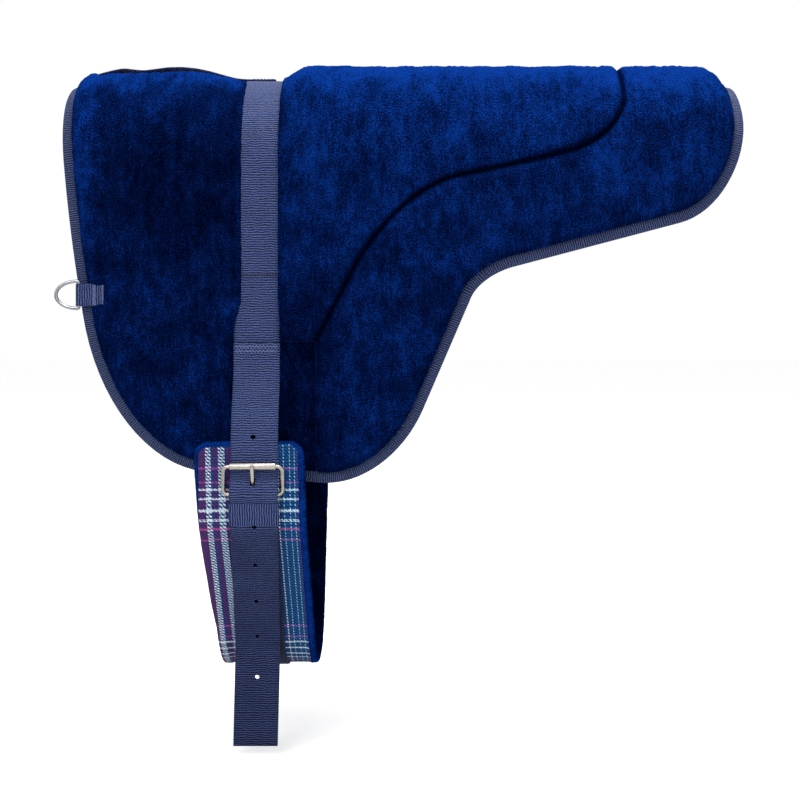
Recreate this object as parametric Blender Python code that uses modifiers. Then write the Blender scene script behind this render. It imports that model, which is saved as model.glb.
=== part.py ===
"""Bareback pad for a horse, with its girth buckled on.

The pad is sewn flat and then draped over the horse's back, so its pieces are drawn on the flat and bent:
x runs from the surcingle towards the tail, t runs down from the spine, to the near side where it is
positive and to the far side where it is negative, and n is the height above the pad's inner face.
The girth is drawn the same way, with t measured up from the middle of its loop.

Metres, +Z up. The head end is at -X and the near side at -Y. The origin is under the spine, in line with
the middle of the surcingle.
"""

import math

import bmesh
import bpy
from mathutils import Euler, Vector

object_name = "bareback_pad"
sides = (("near", 1), ("far", -1))

# Clearance between pieces that touch, and how far a cutter runs past what it cuts
gap = 0.0003
overrun = 0.002
# Corners closer than the first are one, no two points of a panel's outline are closer than the second,
# and a ring inside an outline is found by moving inwards the third at a time
merge_distance = 0.00005
closest_points = 0.003
ring_stride = 0.002
# How far a turn may pass a whole number of creases before it takes one more, and how close to a half turn
# the corner of a cut outline is a spike
turn_slack = 1e-6
spike_slack = 1e-4

# The horse's back under the pad: an arch over the spine, then straight flanks
back_radius = 0.095
arch_angle = math.radians(85)
crease_angle = math.radians(8.5)

# Outline of the pad on the flat
front_reach = 0.2175
rear_reach = 0.5345
drop = 0.499
# Corners of one side, from the withers down and round to the loin. Each row has its share of the front
# or rear reach, its share of the drop, and the shares of the drop that its rounding takes before and after
outline_corner_shares = (
    (-1.0, 0.281, 0.180, 0.250),
    (-0.765, 0.942, 0.330, 0.220),
    (0.268, 1.0, 0.150, 0.190),
    (0.456, 0.532, 0.052, 0.075),
    (1.0, 0.378, 0.150, 0.205),
)
# How far a rounding's handles reach towards its corner, and how much it may turn between two points
rounding_pull_share = 0.58
rounding_step = math.radians(12)

# Layers of the pad, from the horse outwards
lining_thickness = 0.0015
# How far the binding squeezes the lining's inner face outwards, where it lies over the lining's edge
lining_pinch = 0.0004
core_thickness = 0.010
core_edge_thickness = 0.0037
foam_thickness = 0.0065
foam_edge_thickness = 0.002
front_pile = 0.010
rear_pile = 0.012
pile_edge_share = 0.35
pile_seam_share = 0.6

# Tape that binds the edge: its legs, and where the core has its full thickness behind it
binding_leg = 0.0133
binding_thickness = 0.001
binding_round = 0.0015
core_shoulder = 0.0216

# Over how much of a fleece panel, in from its edge, the pile rises to its full height, in two steps past
# the core's slope
pile_step = 0.008
pile_last_step = 0.014

# Surcingle, and where its end is sewn under the billet
strap_width = 0.0508
web_thickness = 0.002
billet_top = 0.3395
surcingle_lap = 0.026

# Fleece patch behind the billet
patch_top = 0.3375
patch_reach = 0.065
# How far below the end of the surcingle the patch starts under the billet
patch_setback = 0.0235

# Quilted seam round the seat: corners as the outline's, with shares of the rear reach and of the drop
seam_corner_shares = (
    (0.282, 0.347, 0.195, 0.137),
    (0.748, 0.241, 0.117, 0.088),
)
seam_end_share = 0.758

# Grab handle along the spine
handle_width = 0.025
handle_thickness = 0.002
handle_front_inset = 0.0155
handle_rear = 0.012
handle_slot = 0.068
# Places along the handle, as shares of the way from its front end to the middle of the surcingle, and how
# high its outer face is there, as shares of its highest place
handle_height = 0.0305
handle_route_shares = (
    (0.15, 0.90),
    (0.20, 0.95),
    (0.26, 0.90),
    (0.31, 0.87),
    (0.37, 0.92),
    (0.45, 0.99),
    (0.53, 1.00),
    (0.61, 0.95),
    (0.69, 0.84),
    (0.77, 0.69),
    (0.84, 0.57),
)

# Ring at the front edge on each side, and the webbing tab that holds it
ring_drop = 0.2875
ring_inset = 0.024
ring_inner = 0.0254
ring_depth = 0.025
ring_wire = 0.002
ring_corner = 0.0024
tab_width = 0.0244
tab_thickness = 0.0013
tab_reach = 0.029
bar_clearance = 0.00035

# Girth: a fleece-lined band, from under one billet to under the other
girth_width = 0.118
girth_end = 0.4445
girth_lining_thickness = 0.007
girth_core_thickness = 0.005
girth_cover_thickness = 0.0012
girth_rim = 0.008
girth_rim_step = 0.003
girth_side = 0.002
girth_corner = 0.018
# How far its near end lies ahead of its middle, and its far end behind it, and how far its middle is
# pushed back. Its webbing slants less
girth_lean = 0.0045
girth_sway = 0.003
web_lean = 0.0016
# It follows the flank to just under the pad, bends in under it, and turns up again in a wide loop
girth_bend = 0.511
shoulder_radius = 0.050
girth_slope = math.radians(27.7)
loop_radius = 0.088

# Roller buckle on each end of the girth
buckle_bar = 0.5028
buckle_height = 0.030
buckle_half_width = 0.0315
buckle_corner = 0.0055
buckle_wire = 0.00215
roller_radius = 0.004
roller_bore_clearance = 0.0003
roller_length = 0.049
prong_eye = 0.0042
prong_eye_width = 0.0046
prong_half = 0.0017
prong_round = 0.0006
# The prong's line: places up the frame, and how far out of the frame's plane it lies there, both as
# shares of the frame's height
prong_line_shares = ((0.13, 0.01), (0.33, 0.04), (0.50, 0.105), (0.80, 0.215), (1.02, 0.272), (1.13, 0.262))
fold_length = 0.034
slot_width = 0.0062

# Billet: thicker webbing from the surcingle to the buckle, and its loose tail below the keeper
billet_thickness = 0.0028
keeper_thickness = 0.001
keeper_start = 0.001
keeper_length = 0.024
tail_start = 0.0315
tail_length = 0.279
far_tail_length = 0.140
tail_lean = 0.009
tail_bend_radius = 0.060
hole_radius = 0.0025
hole_pitch = 0.051
tail_holes = 4
first_hole = 0.0265
# How far above the buckle's bar the strap crosses from behind the roller to the front, over what length,
# and how long and how deep the slot for the prong is
crossing_start = 0.0093
crossing_length = 0.014
prong_slot_place = 0.0130
prong_slot_height = 0.0046
prong_slot_depth = 0.0074
prong_slot_length = 0.019
prong_slot_width = 0.0054
prong_slot_tilt = math.radians(24)

# The fold round the buckle's bar comes back this much past half a turn
fold_overturn_share = 0.2

# Places that follow from the sizes above
handle_front = -front_reach + handle_front_inset
ring_bar_x = -front_reach + ring_inset
tab_end_x = ring_bar_x + tab_reach
patch_under_strap = billet_top + surcingle_lap + patch_setback

# Levels, as heights above the pad's inner face
core_base = lining_thickness + gap
core_top = core_base + core_thickness
web_level = core_top + gap
front_fleece_top = web_level + front_pile
strap_level = web_level + web_thickness + gap
girth_level = front_fleece_top + gap
girth_core_level = girth_level + girth_lining_thickness + gap
girth_cover_level = girth_core_level + girth_core_thickness + gap
girth_face = girth_cover_level + girth_cover_thickness
girth_web_level = girth_face + gap
loop_outer = buckle_wire + bar_clearance + web_thickness
bar_level = girth_web_level + loop_outer
fold_level = girth_web_level + web_thickness + gap
keeper_level = fold_level + web_thickness + gap
kept_level = keeper_level + keeper_thickness + gap + billet_thickness / 2
over_bar_level = bar_level + loop_outer + gap + billet_thickness / 2
behind_roller_level = girth_face + gap + gap + billet_thickness / 2
roller_level = behind_roller_level + billet_thickness / 2 + gap + roller_radius
buckle_tilt = math.asin((roller_level - bar_level) / buckle_height)
fleece_inset = binding_leg + gap
pile_steps = (core_shoulder - fleece_inset, pile_step, pile_last_step)
patch_steps = pile_steps[:2]


# Paths and outlines


class Path:
    """A line in the plane across the horse, on the near side, made of straight runs and arcs.

    Each run is a length and a turn. The line is creased at even steps along each arc, and what is bent
    round it is flat between two creases. hand is 1 where outwards is on the line's right.
    """

    def __init__(self, start, heading, runs, hand):
        self.hand = hand
        self.creases = [(0, Vector(start), heading)]
        for length, turn in runs:
            steps = max(1, math.ceil(abs(turn) / crease_angle - turn_slack))
            half = turn / steps / 2
            chord = length / steps * (math.sin(half) / half if turn else 1)
            for _ in range(steps):
                done, point, angle = self.creases[-1]
                middle = angle + half
                point = point + chord * Vector((math.cos(middle), math.sin(middle)))
                self.creases.append((done + length / steps, point, angle + 2 * half))

    def corner(self, index, height):
        _, point, angle = self.creases[index]
        return point + height * self.hand * Vector((math.sin(angle), -math.cos(angle)))

    def at(self, distance, height=0):
        """The y and z of a place along the line, at a height outwards from it."""
        index = 0
        while index < len(self.creases) - 2 and self.creases[index + 1][0] < distance:
            index += 1
        before, after = self.creases[index][0], self.creases[index + 1][0]
        share = (distance - before) / (after - before)
        return self.corner(index, height).lerp(self.corner(index + 1, height), share)


def rounded(points, roundings):
    """The points of a line through points, with each inner corner rounded.

    roundings has the lengths before and after each inner corner that its rounding takes.
    """
    line = [points[0]]
    for before_point, corner, after_point, (before, after) in zip(
        points, points[1:], points[2:], roundings
    ):
        into = (corner - before_point).normalized()
        out = (after_point - corner).normalized()
        start, end = corner - into * before, corner + out * after
        start_handle = start.lerp(corner, rounding_pull_share)
        end_handle = end.lerp(corner, rounding_pull_share)
        steps = max(2, math.ceil(into.angle(out) / rounding_step))
        for step in range(steps + 1):
            share = step / steps
            rest = 1 - share
            line.append(
                start * rest**3
                + start_handle * 3 * rest**2 * share
                + end_handle * 3 * rest * share**2
                + end * share**3
            )
    return line + [points[-1]]


def from_shares(rows, reaches, depth):
    """Corners and roundings from rows of shares. reaches are those ahead of and behind the surcingle."""
    corners = [Vector((abs(x) * math.copysign(reaches[x > 0], x), t * depth)) for x, t, _, _ in rows]
    return corners, [(before * depth, after * depth) for _, _, before, after in rows]


def both_sides(line):
    """A line from the spine back to the spine on the near side, closed with its mirror image."""
    return line + [Vector((p.x, -p.y)) for p in reversed(line[1:-1])]


def pad_outline():
    corners, roundings = from_shares(outline_corner_shares, (front_reach, rear_reach), drop)
    ends = Vector((-front_reach, 0)), Vector((rear_reach, 0))
    return both_sides(rounded([ends[0], *corners, ends[1]], roundings))


def inset(outline, distance):
    """The closed outline moved inwards. It runs anticlockwise or clockwise alike."""
    count = len(outline)
    area = sum(outline[i - 1].cross(outline[i]) for i in range(count))
    turn = math.copysign(1, area)
    moved = []
    for i, point in enumerate(outline):
        before = (point - outline[i - 1]).normalized()
        after = (outline[(i + 1) % count] - point).normalized()
        first = Vector((-before.y, before.x)) * turn
        second = Vector((-after.y, after.x)) * turn
        moved.append(point + (first + second) * (distance / (1 + first.dot(second))))
    # Where an edge would turn round, its neighbours have met and it shrinks to the place where they meet
    for i in range(count):
        j = (i + 1) % count
        if (moved[j] - moved[i]).dot(outline[j] - outline[i]) < 0:
            before = outline[i] - outline[i - 1]
            after = outline[(j + 1) % count] - outline[j]
            reach = (moved[j] - moved[i]).cross(after) / before.cross(after)
            moved[i] = moved[i] + before * reach
            moved[j] = moved[i].copy()
    return moved


def tidied(outline, least):
    """The closed outline without points closer than least to a neighbour that turns more sharply."""
    kept = list(outline)
    index = 0
    while index < len(kept):
        point, following = kept[index], kept[(index + 1) % len(kept)]
        if (following - point).length < least:
            before, after = kept[index - 1], kept[(index + 2) % len(kept)]
            here = (point - before).angle(following - before, 0)
            there = (following - after).angle(point - after, 0)
            kept.remove(point if here < there else following)
            index = 0
        else:
            index += 1
    return kept


def next_ring(line, step):
    """The closed line moved inwards, with a point for each of its points, also where some coincide.

    It moves a little at a time, so that edges shrink away one after another.
    """
    moves = math.ceil(step / ring_stride)
    for _ in range(moves):
        kept = tidied(line, merge_distance)
        moved = inset(kept, step / moves)
        line = [moved[min(range(len(kept)), key=lambda i: (kept[i] - point).length)] for point in line]
    return line


def place_at(outline, start, end, distance):
    """Where the line from start to end comes to be at a distance from the outline, or None."""
    if distance_to(outline, end, True) < distance_to(outline, start, True):
        start, end = end, start
    if distance_to(outline, start, True) > distance - gap or distance_to(outline, end, True) < distance + gap:
        return None
    low, high = start, end
    for _ in range(20):
        middle = low.lerp(high, 0.5)
        if distance_to(outline, middle, True) > distance:
            high = middle
        else:
            low = middle
    return low


def rectangle(x_low, x_high, t_low, t_high, corner=0):
    """The outline of a rectangle, with rounded corners where corner isn't 0."""
    places = [Vector(p) for p in ((x_low, t_low), (x_high, t_low), (x_high, t_high), (x_low, t_high))]
    if not corner:
        return places
    middle = places[0].lerp(places[3], 0.5)
    line = rounded([middle, *places, middle], [(corner, corner)] * len(places))
    return line[:-1]


def distance_to(line, point, closed):
    """How far a point is from a line of points."""
    starts = line if closed else line[:-1]
    ends = line[1:] + line[:1] if closed else line[1:]
    best = math.inf
    for start, end in zip(starts, ends):
        along = end - start
        share = (point - start).dot(along) / along.length_squared
        best = min(best, (point - start - along * min(1, max(0, share))).length)
    return best


def eased(places, steps):
    """A line through places that leaves and reaches each level gently, in steps a change of level."""
    line = [places[0]]
    for (start, low), (end, high) in zip(places, places[1:]):
        count = 1 if low == high else steps
        for step in range(1, count + 1):
            share = step / count
            rise = (1 - math.cos(math.pi * share)) / 2
            line.append((start + (end - start) * share, low + (high - low) * rise))
    return line


# Flat sheets, given a thickness and bent


def sheet(outline):
    bm = bmesh.new()
    bm.faces.new([bm.verts.new((p.x, p.y, 0)) for p in outline])
    return bm


def cut_across(bm, place, direction, drop_side=0):
    """Cuts the mesh with a plane square to direction. drop_side 1 or -1 removes what lies on that side."""
    bmesh.ops.bisect_plane(
        bm,
        geom=bm.verts[:] + bm.edges[:] + bm.faces[:],
        plane_co=Vector(direction) * place,
        plane_no=direction,
        clear_outer=drop_side > 0,
        clear_inner=drop_side < 0,
    )


def take_out(bm, low, high):
    """Removes a rectangle from a flat sheet and leaves the rest as one face."""
    for axis, direction in enumerate(((1, 0, 0), (0, 1, 0))):
        cut_across(bm, low[axis], direction)
        cut_across(bm, high[axis], direction)
    inside = []
    for face in bm.faces:
        middle = face.calc_center_median()
        if low[0] < middle.x < high[0] and low[1] < middle.y < high[1]:
            inside.append(face)
    bmesh.ops.delete(bm, geom=inside, context="FACES")
    bmesh.ops.dissolve_faces(bm, faces=bm.faces[:])
    bmesh.ops.remove_doubles(bm, verts=bm.verts[:], dist=merge_distance)
    straight = []
    for vert in bm.verts:
        if len(vert.link_edges) == 2:
            first, second = (edge.other_vert(vert).co - vert.co for edge in vert.link_edges)
            if first.angle(second) > math.pi - spike_slack:
                straight.append(vert)
    bmesh.ops.dissolve_verts(bm, verts=straight)


def ringed(outlines, steps, edge=None):
    """A sheet with one region for each outline, and rings of edges inside it at steps inwards.

    Where edge is the pad's outline, each region's own outline has a point more wherever it passes the
    place where the core behind it stops sloping, which is as far in as the first ring.
    """
    bm = bmesh.new()
    for outline in outlines:
        line = outline
        ring = [bm.verts.new((p.x, p.y, 0)) for p in outline]
        for step in steps:
            line_in = next_ring(line, step)
            following = [bm.verts.new((p.x, p.y, 0)) for p in line_in]
            for i in range(len(ring)):
                place = edge and line is outline and place_at(edge, line[i - 1], line[i], core_shoulder)
                if not place:
                    bm.faces.new((ring[i - 1], ring[i], following[i], following[i - 1]))
                    continue
                more = bm.verts.new((place.x, place.y, 0))
                if distance_to(edge, line[i], True) > core_shoulder:
                    bm.faces.new((ring[i - 1], more, following[i - 1]))
                    bm.faces.new((more, ring[i], following[i], following[i - 1]))
                else:
                    bm.faces.new((ring[i - 1], more, following[i], following[i - 1]))
                    bm.faces.new((more, ring[i], following[i]))
            ring, line = following, line_in
        bm.faces.new(ring)
    bmesh.ops.remove_doubles(bm, verts=bm.verts[:], dist=merge_distance / 2)
    bmesh.ops.recalc_face_normals(bm, faces=bm.faces[:])
    return bm


def outline_of(bm):
    """The outline of a sheet that is one face, which it frees."""
    face = max(bm.faces, key=lambda f: f.calc_area())
    line = tidied([Vector(vert.co.xy) for vert in face.verts], closest_points)
    bm.free()
    return line


def thicken(bm, bottom, top):
    """Makes the sheet a closed solid, whose faces lie at the heights that bottom and top give a place."""
    made = bmesh.ops.extrude_face_region(bm, geom=bm.faces[:])["geom"]
    upper = {item for item in made if isinstance(item, bmesh.types.BMVert)}
    for vert in bm.verts:
        place = Vector(vert.co.xy)
        vert.co.z = top(place) if vert in upper else bottom(place)


def level(height):
    return lambda place: height


def drape(bm, path):
    """Creases a flat solid and bends it round the path, on both sides of the middle."""
    reach = max(abs(vert.co.y) for vert in bm.verts)
    for distance, _, _ in path.creases[:-1]:
        if distance < reach:
            cut_across(bm, distance, (0, 1, 0))
            if distance:
                cut_across(bm, -distance, (0, 1, 0))
    for vert in bm.verts:
        side = -1 if vert.co.y < 0 else 1
        y, z = path.at(abs(vert.co.y), vert.co.z)
        vert.co.yz = side * y, z


# Objects, their materials and their collections


def collection(name, shown=True):
    made = bpy.data.collections.new(name)
    made.hide_render = not shown
    bpy.context.scene.collection.children.link(made)
    return made


def material(name, colour, roughness, metallic=0.0):
    made = bpy.data.materials.new(name)
    made.use_nodes = True
    shader = made.node_tree.nodes["Principled BSDF"]
    shader.inputs["Base Color"].default_value = (*colour, 1)
    shader.inputs["Roughness"].default_value = roughness
    shader.inputs["Metallic"].default_value = metallic
    return made


def add_object(name, data, finish, origin=(0, 0, 0), parent=None):
    """An object in the part's collection. origin is in the world, also where it has a parent."""
    made = bpy.data.objects.new(name, data)
    bpy.data.collections[object_name].objects.link(made)
    made.data.materials.append(finish)
    made.location = Vector(origin)
    if parent:
        made.parent = parent
        made.location -= parent_place(parent)
    return made


def parent_place(parent):
    place = Vector(parent.location)
    while parent.parent:
        parent = parent.parent
        place += parent.location
    return place


def add_axis(name, place, parent=None):
    """An empty on a joint's axis, which carries the pieces that turn about it."""
    made = bpy.data.objects.new(name, None)
    bpy.data.collections[object_name].objects.link(made)
    made.location = Vector(place)
    if parent:
        made.parent = parent
        made.location -= parent_place(parent)
    return made


def finish_mesh(name, bm, finish, origin=(0, 0, 0), parent=None):
    """An object from a mesh drawn in world coordinates, with its origin where it is asked for."""
    bmesh.ops.recalc_face_normals(bm, faces=bm.faces[:])
    if bm.calc_volume(signed=True) < 0:
        bmesh.ops.reverse_faces(bm, faces=bm.faces[:])
    bmesh.ops.translate(bm, vec=-Vector(origin), verts=bm.verts[:])
    mesh = bpy.data.meshes.new(name)
    bm.to_mesh(mesh)
    bm.free()
    return add_object(name, mesh, finish, origin, parent)


def ribbon(name, line, width, thickness, finish, origin=(0, 0, 0), parent=None, lean=None):
    """Webbing of an even thickness along a line of y and z, centred on x or on what lean gives a place."""
    bm = bmesh.new()
    rows = []
    for index, (y, z) in enumerate(line):
        x = lean[index] if lean else 0
        rows.append([bm.verts.new((x + half, y, z)) for half in (-width / 2, width / 2)])
    for (a, b), (c, d) in zip(rows, rows[1:]):
        bm.faces.new((a, b, d, c))
    made = finish_mesh(name, bm, finish, origin, parent)
    solid = made.modifiers.new("Thickness", "SOLIDIFY")
    solid.thickness = thickness
    solid.offset = 0
    solid.use_even_offset = True
    return made


def wire(name, points, radius, finish, origin, rotation, parent):
    """A closed ring of round wire through points in its own plane."""
    curve = bpy.data.curves.new(name, "CURVE")
    curve.dimensions = "3D"
    curve.bevel_depth = radius
    curve.bevel_resolution = 2
    spline = curve.splines.new("POLY")
    spline.points.add(len(points) - 1)
    for target, (x, y) in zip(spline.points, points):
        target.co = (x, y, 0, 1)
    spline.use_cyclic_u = True
    spline.use_smooth = True
    made = add_object(name, curve, finish, origin, parent)
    made.rotation_euler = rotation
    return made


def add_cutter(name, bm):
    mesh = bpy.data.meshes.new(name)
    bm.to_mesh(mesh)
    bm.free()
    made = bpy.data.objects.new(name, mesh)
    bpy.data.collections["cutters"].objects.link(made)
    made.hide_render = True
    made.display_type = "WIRE"
    return made


def cut(target, cutter):
    boolean = target.modifiers.new("Cut", "BOOLEAN")
    boolean.operation = "DIFFERENCE"
    boolean.solver = "EXACT"
    boolean.object = cutter


def box(bm, size):
    """Adds a box about the origin and returns its corners."""
    made = bmesh.ops.create_cube(bm, size=1)["verts"]
    bmesh.ops.scale(bm, vec=size, verts=made)
    return made


def rod(bm, radius, length, segments=16):
    """Adds a cylinder along Z about the origin and returns its corners."""
    return bmesh.ops.create_cone(
        bm, cap_ends=True, segments=segments, radius1=radius, radius2=radius, depth=length
    )["verts"]


def turn_to_side(verts, bm, rotation, place):
    """Turns corners about the origin by a rotation, then moves them to a place."""
    bmesh.ops.rotate(bm, cent=(0, 0, 0), matrix=rotation, verts=verts)
    bmesh.ops.translate(bm, vec=place, verts=verts)


# Where things are on the flanks

pad_path = Path((0, 0), math.pi, ((back_radius * arch_angle, arch_angle), (drop, 0)), 1)
flank_heading = math.pi + arch_angle


def on_flank(side, x, t, n):
    """A place on the near or the far side of the pad, in the world."""
    y, z = pad_path.at(t, n)
    return Vector((x, side * y, z))


def flank_turn(side, tilt=0):
    """The rotation that stands a piece drawn in x and y against a flank, with its z outwards."""
    return (arch_angle + tilt, 0, 0 if side > 0 else math.pi)


def turned(rotation):
    return Euler(rotation).to_matrix()


def buckle_x(side):
    """How far the buckle lies behind the middle of the surcingle: it is centred on the slanting webbing."""
    return -side * web_lean * (girth_half - (buckle_bar - girth_end)) / girth_half


# The pad itself


def core_height(edge_distance):
    """The top of the core at a distance in from the pad's outline."""
    share = (edge_distance - binding_leg + gap) / (core_shoulder - binding_leg)
    share = min(1, max(0, share))
    return core_base + core_edge_thickness + (core_thickness - core_edge_thickness) * share


def pile_height(share_at_edge, distance):
    """How much of its full height a fleece has at a distance from its edge or from a seam."""
    share = min(1, distance / sum(pile_steps))
    return share_at_edge + (1 - share_at_edge) * math.sin(share * math.pi / 2)


def make_lining_and_core(outline, canvas, felt):
    edge = inset(outline, binding_thickness + gap)
    leg = binding_leg - binding_thickness
    bm = ringed([edge], (leg,))

    def inner_face(place):
        return lining_pinch if distance_to(edge, place, True) < leg / 2 else 0

    thicken(bm, inner_face, level(lining_thickness))
    drape(bm, pad_path)
    finish_mesh("pad_lining", bm, canvas)

    leg = binding_leg - binding_thickness - gap
    bm = ringed([edge], (leg, core_shoulder - binding_leg))
    thicken(bm, level(core_base), lambda p: core_height(distance_to(outline, p, True)))
    drape(bm, pad_path)
    finish_mesh("pad_core", bm, felt)


def make_binding(outline, tape):
    """Folded tape round the whole edge: a U whose legs lie over and under it."""
    low = -gap - binding_thickness
    high = core_base + core_edge_thickness + gap + binding_thickness
    section = (
        (binding_leg, high),
        (binding_round, high),
        (0, high - binding_round),
        (0, low + binding_round),
        (binding_round, low),
        (binding_leg, low),
        (binding_leg, low + binding_thickness),
        (binding_thickness, low + binding_thickness),
        (binding_thickness, high - binding_thickness),
        (binding_leg, high - binding_thickness),
    )
    bm = bmesh.new()
    rings = []
    for distance, height in section:
        rings.append([bm.verts.new((p.x, p.y, height)) for p in inset(outline, distance)])
    for ring, following in zip(rings, rings[1:] + rings[:1]):
        for i in range(len(ring)):
            bm.faces.new((ring[i - 1], ring[i], following[i], following[i - 1]))
    drape(bm, pad_path)
    finish_mesh("edge_binding", bm, tape)


def make_front_fleece(outline, fleece):
    """The panel ahead of the surcingle, with room for the handle's rear end and for the ring tabs."""
    bm = sheet(inset(outline, fleece_inset))
    cut_across(bm, -strap_width / 2 - gap, (1, 0, 0), drop_side=1)
    half = handle_width / 2 + gap
    take_out(bm, (-handle_slot, -half), (0, half))
    half = tab_width / 2 + gap
    for _, side in sides:
        middle = side * ring_drop
        take_out(bm, (-front_reach, middle - half), (tab_end_x + gap, middle + half))
    panel = outline_of(bm)
    bm = ringed([panel], pile_steps, outline)

    def floor(place):
        return core_height(distance_to(outline, place, True)) + gap

    def surface(place):
        return floor(place) + front_pile * pile_height(pile_edge_share, distance_to(panel, place, True))

    thicken(bm, floor, surface)
    drape(bm, pad_path)
    finish_mesh("fleece_front", bm, fleece)


def quilt_seam():
    """The sewn line round the seat, from the near patch over the loin to the far patch."""
    corners, roundings = from_shares(seam_corner_shares, (front_reach, rear_reach), drop)
    start = Vector((patch_reach + gap, patch_top - gap))
    near = rounded([start, *corners, Vector((seam_end_share * rear_reach, 0))], roundings)
    return near + [Vector((p.x, -p.y)) for p in reversed(near[:-1])]


def make_rear_panels(outline, fleece, foam):
    """The panel behind the surcingle, and the two foam inserts that its quilted seam keeps apart."""
    seam = quilt_seam()
    bm = sheet(inset(outline, fleece_inset))
    cut_across(bm, strap_width / 2 + gap, (1, 0, 0), drop_side=-1)
    for _, side in sides:
        ends = sorted((side * (patch_top - gap), side * drop))
        take_out(bm, (0, ends[0]), (patch_reach + gap, ends[1]))
    panel = outline_of(bm)
    ends = [panel.index(min(panel, key=lambda p: (p - end).length)) for end in (seam[0], seam[-1])]
    low, high = sorted(ends)
    inner = seam[1:-1] if ends[0] == low else seam[-2:0:-1]
    first = panel[high:] + panel[: low + 1] + inner
    second = panel[low : high + 1] + inner[::-1]
    seat, skirt = sorted((first, second), key=lambda region: sum(p.x for p in region) / len(region))
    bm = ringed([seat, skirt], pile_steps, outline)

    def core(place):
        return core_height(distance_to(outline, place, True)) + gap

    def edge_distance(place):
        return min(distance_to(panel, place, True), distance_to(seam, place, False))

    def foam_rise(place):
        share = (edge_distance(place) - pile_steps[0]) / (sum(pile_steps) - pile_steps[0])
        rise = math.sin(min(1, max(0, share)) * math.pi / 2)
        return foam_edge_thickness + (foam_thickness - foam_edge_thickness) * rise

    def floor(place):
        share = min(1, edge_distance(place) / pile_steps[0])
        return core(place) + (foam_rise(place) + gap) * share

    def surface(place):
        at_edge = pile_height(pile_edge_share, distance_to(panel, place, True))
        at_seam = pile_height(pile_seam_share, distance_to(seam, place, False))
        return floor(place) + rear_pile * min(at_edge, at_seam)

    thicken(bm, floor, surface)
    drape(bm, pad_path)
    finish_mesh("fleece_rear", bm, fleece)

    for name, region in (("seat_foam", seat), ("skirt_foam", skirt)):
        bm = ringed([next_ring(region, pile_steps[0])], pile_steps[1:])
        thicken(bm, core, lambda place: core(place) + foam_rise(place))
        drape(bm, pad_path)
        finish_mesh(name, bm, foam)


def make_patches(outline, fleece):
    """A fleece patch on each side, under the billet and just behind it."""
    for name, side in sides:
        bm = sheet(inset(outline, fleece_inset))
        cut_across(bm, -strap_width / 2, (1, 0, 0), drop_side=-1)
        cut_across(bm, patch_reach, (1, 0, 0), drop_side=1)
        cut_across(bm, side * patch_top, (0, 1, 0), drop_side=-side)
        ends = sorted((0, side * patch_under_strap))
        take_out(bm, (-strap_width, ends[0]), (strap_width / 2 + gap, ends[1]))
        panel = outline_of(bm)
        bm = ringed([panel], patch_steps, outline)

        def floor(place):
            return core_height(distance_to(outline, place, True)) + gap

        def surface(place, panel=panel):
            share = min(1, distance_to(panel, place, True) / sum(patch_steps))
            rise = pile_edge_share + (1 - pile_edge_share) * math.sin(share * math.pi / 2)
            return floor(place) + front_pile * rise

        thicken(bm, floor, surface)
        drape(bm, pad_path)
        finish_mesh(f"{name}_fleece_patch", bm, fleece)


def make_surcingle(webbing):
    end = billet_top + surcingle_lap
    bm = sheet(rectangle(-strap_width / 2, strap_width / 2, -end, end))
    thicken(bm, level(web_level), level(web_level + web_thickness))
    drape(bm, pad_path)
    finish_mesh("surcingle", bm, webbing)


def make_handle(webbing):
    """The handle lies along the spine, with its ends sewn to the front fleece and to the surcingle."""
    lowest = strap_level + handle_thickness
    edge = -front_reach + fleece_inset
    route = []
    for inward in (handle_front - edge, pile_steps[0], sum(pile_steps[:2])):
        pile = core_height(fleece_inset + inward) + gap + front_pile * pile_height(pile_edge_share, inward)
        route.append((edge + inward, pile + gap + handle_thickness))
    route += [(handle_front * (1 - share), handle_height * rise) for share, rise in handle_route_shares]
    route.append((-strap_width / 2 + gap, lowest))
    route.append((handle_rear, lowest))

    def height(place):
        for (start, low), (end, high) in zip(route, route[1:]):
            if place.x <= end:
                break
        share = (place.x - start) / (end - start)
        return low + (high - low) * share

    half = handle_width / 2
    bm = sheet(rectangle(handle_front, handle_rear, -half, half))
    for x, _ in route[1:-1]:
        cut_across(bm, x, (1, 0, 0))
    thicken(bm, lambda place: height(place) - handle_thickness, height)
    drape(bm, pad_path)
    finish_mesh("grab_handle", bm, webbing)


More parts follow.
